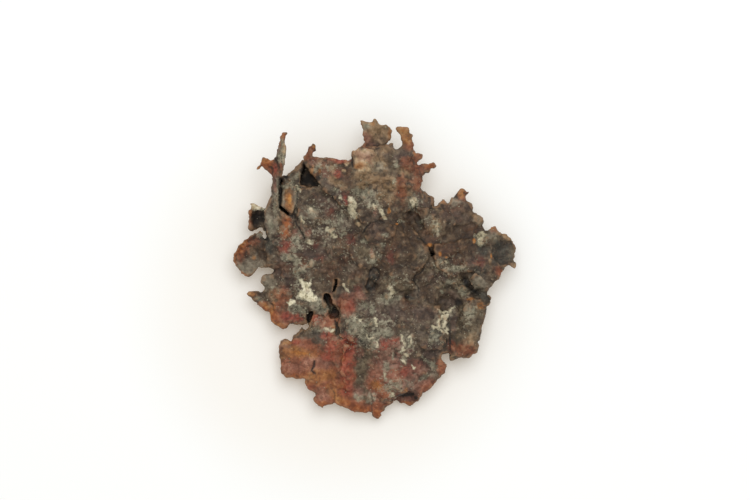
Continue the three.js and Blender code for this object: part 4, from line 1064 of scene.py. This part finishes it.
# Painted shade in the hollows and grooves: where it lies, the depth at which it is whole, and its cover.
HOLLOW_SHADE_PLACES = [("groove", 0.9, 0.55), ("hollow", 1.0, 0.45)]
HOLLOW_SHADE_START = 0.05
CREST_LIGHT = (0.25, 0.9)  # how far a crest stands out where its lightening starts and where it is whole; partly wear, partly painted highlight
# Painted black shade in the voids and cracks: its edge and its cover.
VOID_SHADE_EDGE = (0.9, 0.7, 0.24)  # grain in mm, raggedness and softness
VOID_SHADE_COVER = 0.9

GRAIN_TONES = (tone(88, 82, 66), tone(118, 112, 93), tone(158, 151, 129))


def skin_material(settings):
    """Tarnished copper: grey-brown tarnish under layers of oxide, bare metal and mineral crust."""
    groups = shared_groups()
    material, tree = new_material("tarnished_copper")
    shade = add_group(tree, groups["Shades"]).outputs["Shade"]
    colour = add_tones(tree, groups, settings.tarnish_dark, settings.tarnish, settings.tarnish_light, shade)
    rough = TARNISH_ROUGHNESS
    metal = 0.0
    for name, dark, middle, light, grain, ragged, soft, cover, matt in LAYERS:
        finish = add_tones(tree, groups, tone(*dark), tone(*middle), tone(*light), shade)
        mask = add_math(tree, "MULTIPLY", add_mask(tree, groups, name, grain, ragged, soft), cover)
        colour = add_mix(tree, mask, colour, finish)
        rough = add_blend(tree, mask, rough, matt)
        if name == "copper":
            metal = add_math(tree, "MULTIPLY", mask, settings.bare_metal)
        if name in MINERALS:
            metal = add_blend(tree, mask, metal, 0.0)
    colour = weathered(tree, groups, colour, mask, settings)
    height = add_noise(tree, BUMP_WAVE, roughness=0.5)
    bump = add_node(
        tree, "ShaderNodeBump", Height=height, Strength=BUMP_STRENGTH, Distance=BUMP_HEIGHT * MM
    )
    shader = add_node(
        tree, "ShaderNodeBsdfPrincipled", Base_Color=colour, Roughness=rough, Metallic=metal,
        Specular_IOR_Level=SKIN_SPECULAR, Normal=bump.outputs[0],
    )
    add_node(tree, "ShaderNodeOutputMaterial", Surface=shader.outputs[0])
    return material


def weathered(tree, groups, colour, white, settings):
    """Pale and dark flecks, crests made lighter as partly wear and partly painted highlight, painted shade in
    the hollows off the leaf and the white, and painted black shade in the voids and cracks.
    """
    leaf = read_field(tree, "leaf")
    shares = {"leaf": leaf, "bare": add_math(tree, "SUBTRACT", 1.0, add_math(tree, "MAXIMUM", white, leaf))}
    clouds = read_field(tree, "flecks")
    for wave, cover, shade in PALE_FLECKS:
        mask = add_group(tree, groups["Flecks"], Wave=wave, Density=clouds).outputs["Mask"]
        colour = add_mix(tree, add_math(tree, "MULTIPLY", mask, cover), colour, tone(*shade))
    for share, wave, density, cover, shade in DARK_FLECKS:
        mask = add_group(tree, groups["Flecks"], Wave=wave, Density=density).outputs["Mask"]
        mask = add_math(tree, "MULTIPLY", add_math(tree, "MULTIPLY", mask, cover), shares[share])
        colour = add_mix(tree, mask, colour, tone(*shade))
    # Painted highlight, partly real wear: the crests made lighter.
    crest = add_ramp(tree, add_math(tree, "MULTIPLY", read_field(tree, "hollow"), -1.0), *CREST_LIGHT)
    colour = add_mix(tree, add_math(tree, "MULTIPLY", crest, settings.crest_wear_and_highlight), colour, settings.crest_light_tone)
    # Painted shade in the hollows and grooves, off the leaf and the white.
    for field, full, cover in HOLLOW_SHADE_PLACES:
        shaded = add_math(tree, "MULTIPLY", add_ramp(tree, read_field(tree, field), HOLLOW_SHADE_START, full), cover)
        colour = add_mix(tree, add_math(tree, "MULTIPLY", shaded, shares["bare"]), colour, settings.hollow_shade)
    # Painted black shade in the voids and cracks.
    void_shade = add_math(tree, "MULTIPLY", add_mask(tree, groups, "void_shade", *VOID_SHADE_EDGE), VOID_SHADE_COVER)
    void_shade = add_math(tree, "MAXIMUM", void_shade, read_field(tree, "crack"))
    return add_mix(tree, void_shade, colour, settings.void_shade)


def grain_material():
    """Crust grains: grey-green to cream, by the grain."""
    material, tree = new_material("crust_grain")
    colour = add_tones(tree, shared_groups(), *GRAIN_TONES, read_field(tree, "shade"))
    shader = add_node(
        tree, "ShaderNodeBsdfPrincipled", Base_Color=colour, Roughness=0.85, Specular_IOR_Level=0.3
    )
    add_node(tree, "ShaderNodeOutputMaterial", Surface=shader.outputs[0])
    return material


def floor_material(settings):
    """Plain pale floor with a painted shadow: a little warmer and darker round the nugget."""
    material, tree = new_material("pale_floor")
    place = add_node(tree, "ShaderNodeTexCoord").outputs["Object"]
    away = add_node(
        tree, "ShaderNodeVectorMath", {"operation": "DISTANCE"}, n0=place, n1=tuple(settings.floor_shadow_middle)
    ).outputs["Value"]
    share = add_ramp(tree, away, settings.floor_shadow_inner, settings.floor_shadow_outer)
    colour = add_mix(tree, share, settings.floor_shadowed, settings.floor_far)
    shader = add_node(
        tree, "ShaderNodeBsdfPrincipled", Base_Color=colour, Roughness=0.9, Specular_IOR_Level=0.0,
        Emission_Color=settings.floor_glow, Emission_Strength=1.0,
    )
    add_node(tree, "ShaderNodeOutputMaterial", Surface=shader.outputs[0])
    return material


# Settings and operators

class NuggetSettings(bpy.types.PropertyGroup):
    voxel: FloatProperty(
        name="Net", description="Face size of the skin's net, in mm", default=0.25, min=0.2, max=1.0
    )
    kept_faces: FloatProperty(
        name="Kept faces", description="Share of the net's faces that are kept", default=0.875, min=0.1,
        max=1.0,
    )
    smoothing: IntProperty(
        name="Smoothing", description="Rounds that take the facets off the solid", default=12, min=0, max=40
    )
    lump_height: FloatProperty(
        name="Lumps", description="Height of the broad lumps, in mm", default=0.24, min=0.0, max=1.0
    )
    block_height: FloatProperty(
        name="Blocks", description="Height of the blocky plates, in mm", default=0.16, min=0.0, max=1.0
    )
    dome_height: FloatProperty(
        name="Domes", description="Height of the small round lumps, in mm", default=0.16, min=0.0, max=0.5
    )
    grain_height: FloatProperty(
        name="Grain", description="Height of the fine rough grain, in mm", default=0.09, min=0.0, max=0.5
    )
    crumple: FloatProperty(
        name="Crumple", description="How far the edges stray sideways, in mm", default=0.14, min=0.0, max=0.5
    )
    grains: IntProperty(
        name="Crust grains", description="How many small grains the crust has", default=1100, min=0
    )
    bare_metal: FloatProperty(
        name="Bare metal", description="How metallic the bare copper is", default=0.25, min=0.0, max=1.0
    )
    tarnish_dark: FloatVectorProperty(
        name="Dark tarnish", description="Darkest tone of the tarnish", subtype="COLOR",
        default=tone(47, 36, 26),
    )
    tarnish: FloatVectorProperty(
        name="Tarnish", description="Main tone of the tarnish", subtype="COLOR", default=tone(75, 61, 47)
    )
    tarnish_light: FloatVectorProperty(
        name="Light tarnish", description="Lightest tone of the tarnish", subtype="COLOR",
        default=tone(103, 89, 71),
    )
    # The lighter crests are partly worn metal and partly painted highlight.
    crest_wear_and_highlight: FloatProperty(
        name="Crest wear and highlight", description="How strongly the crests are worn lighter", default=0.42, min=0.0,
        max=1.0,
    )
    crest_light_tone: FloatVectorProperty(
        name="Crest light tone", description="Tone of the worn crests", subtype="COLOR", default=tone(150, 114, 82)
    )
    # Painted shade in the hollows and grooves.
    hollow_shade: FloatVectorProperty(
        name="Hollow shade", description="Dirt in the hollows", subtype="COLOR", default=tone(48, 38, 30)
    )
    # Painted black shade in the voids and cracks.
    void_shade: FloatVectorProperty(
        name="Void shade", description="Black in the cracks", subtype="COLOR", default=tone(17, 13, 10)
    )


class NuggetStageSettings(bpy.types.PropertyGroup):
    # The near floor, its middle and its radii paint a shadow: darker and warmer round the nugget, centred a
    # little south-west.
    floor_shadowed: FloatVectorProperty(
        name="Shadowed floor", description="Colour of the floor round the nugget", subtype="COLOR",
        default=(0.722, 0.756, 0.78),
    )
    floor_far: FloatVectorProperty(
        name="Far floor", description="Colour of the floor farther out", subtype="COLOR",
        default=(0.755, 0.821, 0.883),
    )
    floor_glow: FloatVectorProperty(
        name="Floor glow", description="Light that comes through the floor", subtype="COLOR",
        default=(0.19, 0.145, 0.09),
    )
    floor_shadow_middle: FloatVectorProperty(
        name="Floor middle", description="Middle of the near floor's colour", subtype="TRANSLATION",
        default=(-0.008, -0.007, 0.0),
    )
    floor_shadow_inner: FloatProperty(
        name="Inner radius", description="Where the near floor's colour starts to change", default=0.026,
        unit="LENGTH",
    )
    floor_shadow_outer: FloatProperty(
        name="Outer radius", description="Where the far floor's colour is reached", default=0.046,
        unit="LENGTH",
    )
    sky: FloatProperty(name="Sky light", description="Strength of the light all round", default=0.64, min=0.0)
    key: FloatProperty(name="Key light", description="Power of the main lamp, in watts", default=6.0, min=0.0)
    distance: FloatProperty(
        name="Camera height", description="Camera height over the nugget", default=0.9, unit="LENGTH"
    )
    view_width: FloatProperty(
        name="View width", description="Width of what the camera sees at the nugget", default=0.15,
        unit="LENGTH",
    )


class NUGGET_OT_skin(bpy.types.Operator):
    """Make the nugget's crumpled, crusted skin from its solid"""

    bl_idname = "nugget.skin"
    bl_label = "Nugget skin"
    bl_options = {"REGISTER", "UNDO"}

    def execute(self, context):
        settings = context.scene.nugget
        piece = voxel_skin(solid_in_mm(NODE), "nugget_skin", settings)
        mesh = piece.data
        points, edges = carve(mesh, settings)
        for name, values in finish_fields(points, edges, read_normals(mesh)).items():
            write_field(mesh, name, values)
        write_points(mesh, points * MM)
        mesh.polygons.foreach_set("use_smooth", np.ones(len(mesh.polygons), dtype=bool))
        mesh.materials.clear()
        mesh.materials.append(skin_material(settings))
        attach(piece, "root")
        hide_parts(NODE)
        return {"FINISHED"}


# Crust grains: size in mm, and stretch, roughness and height over the skin in sizes.
GRAIN_SEED = 7
GRAIN_SIZE = 0.07
GRAIN_SIZE_SPREAD = 0.09
GRAIN_STRETCH = 0.7
GRAIN_STRETCH_SPREAD = 0.6
GRAIN_ROUGHNESS = 0.25
GRAIN_LIFT = 0.35

# How much grains like each point: anywhere, on the crust, in the clouds of flecks, how much less on
# bare metal, and how far up its face has to look.
LIKES_ALL = 0.06
LIKES_CRUST = 1.6
LIKES_CLOUDS = 0.5
BARE_LOSS = 0.8
GRAIN_FACING = (0.3, 0.8)


def grain_liking(points, normals):
    """How likely a grain is to sit at each point of the upper face."""
    places = points[:, :2]
    crust = patch_field(places, PATCHES["crust"])
    clouds = patch_field(places, FLECK_CLOUDS)
    bare = np.maximum(patch_field(places, PATCHES["copper"]), patch_field(places, PATCHES["rose"]))
    liking = LIKES_ALL + LIKES_CRUST * crust ** 2 + LIKES_CLOUDS * clouds ** 2
    return liking * (1 - BARE_LOSS * bare) * smooth_step(*GRAIN_FACING, normals[:, 2])


def grain_shape():
    """Corners and faces of a rough round grain."""
    work = bmesh.new()
    bmesh.ops.create_icosphere(work, subdivisions=1, radius=1.0)
    corners = np.array([tuple(vert.co) for vert in work.verts])
    faces = np.array([[vert.index for vert in face.verts] for face in work.faces])
    work.free()
    return corners, faces


def turn_matrix(chance):
    axis = Vector(chance.normal(size=3)).normalized()
    return np.array(Matrix.Rotation(chance.random() * math.tau, 3, axis))


class NUGGET_OT_grains(bpy.types.Operator):
    """Scatter small crust grains over the nugget's upper face"""

    bl_idname = "nugget.grains"
    bl_label = "Crust grains"
    bl_options = {"REGISTER", "UNDO"}

    def execute(self, context):
        skin = bpy.data.objects.get("nugget_skin")
        if skin is None:
            raise RuntimeError("the skin has to be made before its grains")
        chance = np.random.default_rng(GRAIN_SEED)
        points = read_points(skin.data)
        normals = read_normals(skin.data)
        liking = grain_liking(points / MM, normals)
        count = context.scene.nugget.grains
        seats = chance.choice(len(points), size=count, replace=False, p=liking / liking.sum())
        corners, faces = grain_shape()
        all_corners = []
        all_faces = []
        shades = []
        for index, seat in enumerate(seats):
            size = GRAIN_SIZE + GRAIN_SIZE_SPREAD * chance.random() ** 2
            stretch = size * (GRAIN_STRETCH + GRAIN_STRETCH_SPREAD * chance.random(3))
            grain = (corners * stretch) @ turn_matrix(chance)
            grain += GRAIN_ROUGHNESS * size * chance.normal(size=corners.shape)
            all_corners.append(grain * MM + points[seat] + normals[seat] * size * GRAIN_LIFT * MM)
            all_faces.append(faces + index * len(corners))
            shades.append(np.full(len(corners), chance.random()))
        mesh = bpy.data.meshes.new("crust_grains")
        mesh.from_pydata(np.concatenate(all_corners).tolist(), [], np.concatenate(all_faces).tolist())
        write_field(mesh, "shade", np.concatenate(shades))
        mesh.materials.append(grain_material())
        piece = bpy.data.objects.new("crust_grains", mesh)
        context.scene.collection.objects.link(piece)
        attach(piece, "root")
        return {"FINISHED"}


# The stage, in metres, with the sensor's width in mm.
FLOOR_REACH = 3.0
SKY_COLOUR = (1.0, 0.975, 0.94, 1)
KEY_COLOUR = (1.0, 0.985, 0.96)
KEY_SIZE = 0.95
KEY_DISTANCE = 1.0
KEY_FROM = Vector((0.1, 0.38, 0.92))
PICTURE_MIDDLE = (375, 250)  # on the plan grid
AIM_HEIGHT = 5 * MM
SENSOR_WIDTH = 36.0
CLIP_END = 10.0


class NUGGET_OT_stage(bpy.types.Operator):
    """Set up the pale floor, the soft lights and the camera straight above"""

    bl_idname = "nugget.stage"
    bl_label = "Stage"
    bl_options = {"REGISTER", "UNDO"}

    def execute(self, context):
        scene = context.scene
        settings = scene.nugget_stage
        mesh = bpy.data.meshes.new("floor")
        corners = [(x * FLOOR_REACH, y * FLOOR_REACH, 0) for x, y in ((-1, -1), (1, -1), (1, 1), (-1, 1))]
        mesh.from_pydata(corners, [], [(0, 1, 2, 3)])
        mesh.materials.append(floor_material(settings))
        floor = bpy.data.objects.new("floor", mesh)
        scene.collection.objects.link(floor)
        make_lights(scene, settings)
        make_camera(scene, settings)
        scene.view_settings.view_transform = "Standard"
        scene.view_settings.look = "None"
        return {"FINISHED"}


def make_lights(scene, settings):
    """An even warm white all round, and a broad lamp high in the north."""
    world = bpy.data.worlds.new("studio")
    world.use_nodes = True
    background = world.node_tree.nodes["Background"]
    background.inputs["Color"].default_value = SKY_COLOUR
    background.inputs["Strength"].default_value = settings.sky
    scene.world = world
    lamp = bpy.data.lights.new("key", "AREA")
    lamp.shape = "DISK"
    lamp.size = KEY_SIZE
    lamp.energy = settings.key
    lamp.color = KEY_COLOUR
    key = bpy.data.objects.new("key", lamp)
    towards = KEY_FROM.normalized()
    key.location = towards * KEY_DISTANCE
    key.rotation_euler = towards.to_track_quat("Z", "Y").to_euler()
    scene.collection.objects.link(key)


def make_camera(scene, settings):
    """Straight above, with north up."""
    east, north = plan(PICTURE_MIDDLE) * MM
    lens = bpy.data.cameras.new("camera")
    lens.sensor_width = SENSOR_WIDTH
    lens.lens = SENSOR_WIDTH * settings.distance / settings.view_width
    lens.clip_end = CLIP_END
    camera = bpy.data.objects.new("camera", lens)
    camera.location = (east, north, settings.distance + AIM_HEIGHT)
    scene.collection.objects.link(camera)
    scene.camera = camera


class NUGGET_PT_panel(bpy.types.Panel):
    """Lists the nugget's settings and the operators that build it"""

    bl_idname = "NUGGET_PT_panel"
    bl_label = "Nugget"
    bl_space_type = "VIEW_3D"
    bl_region_type = "UI"
    bl_category = "Nugget"

    def draw(self, context):
        for settings in (context.scene.nugget, context.scene.nugget_stage):
            for name in settings.bl_rna.properties.keys():
                if name not in ("rna_type", "name"):
                    self.layout.prop(settings, name)
        for operator in OPERATORS:
            self.layout.operator(operator.bl_idname)


OPERATORS = (NUGGET_OT_skin, NUGGET_OT_grains, NUGGET_OT_stage)
CLASSES = (NuggetSettings, NuggetStageSettings, *OPERATORS, NUGGET_PT_panel)


def register():
    for one in CLASSES:
        bpy.utils.register_class(one)
    bpy.types.Scene.nugget = PointerProperty(type=NuggetSettings)
    bpy.types.Scene.nugget_stage = PointerProperty(type=NuggetStageSettings)


def unregister():
    del bpy.types.Scene.nugget_stage
    del bpy.types.Scene.nugget
    for one in reversed(CLASSES):
        bpy.utils.unregister_class(one)


def main():
    register()
    bpy.ops.nugget.skin()
    bpy.ops.nugget.grains()
    bpy.ops.nugget.stage()


if __name__ == "__main__":
    main()
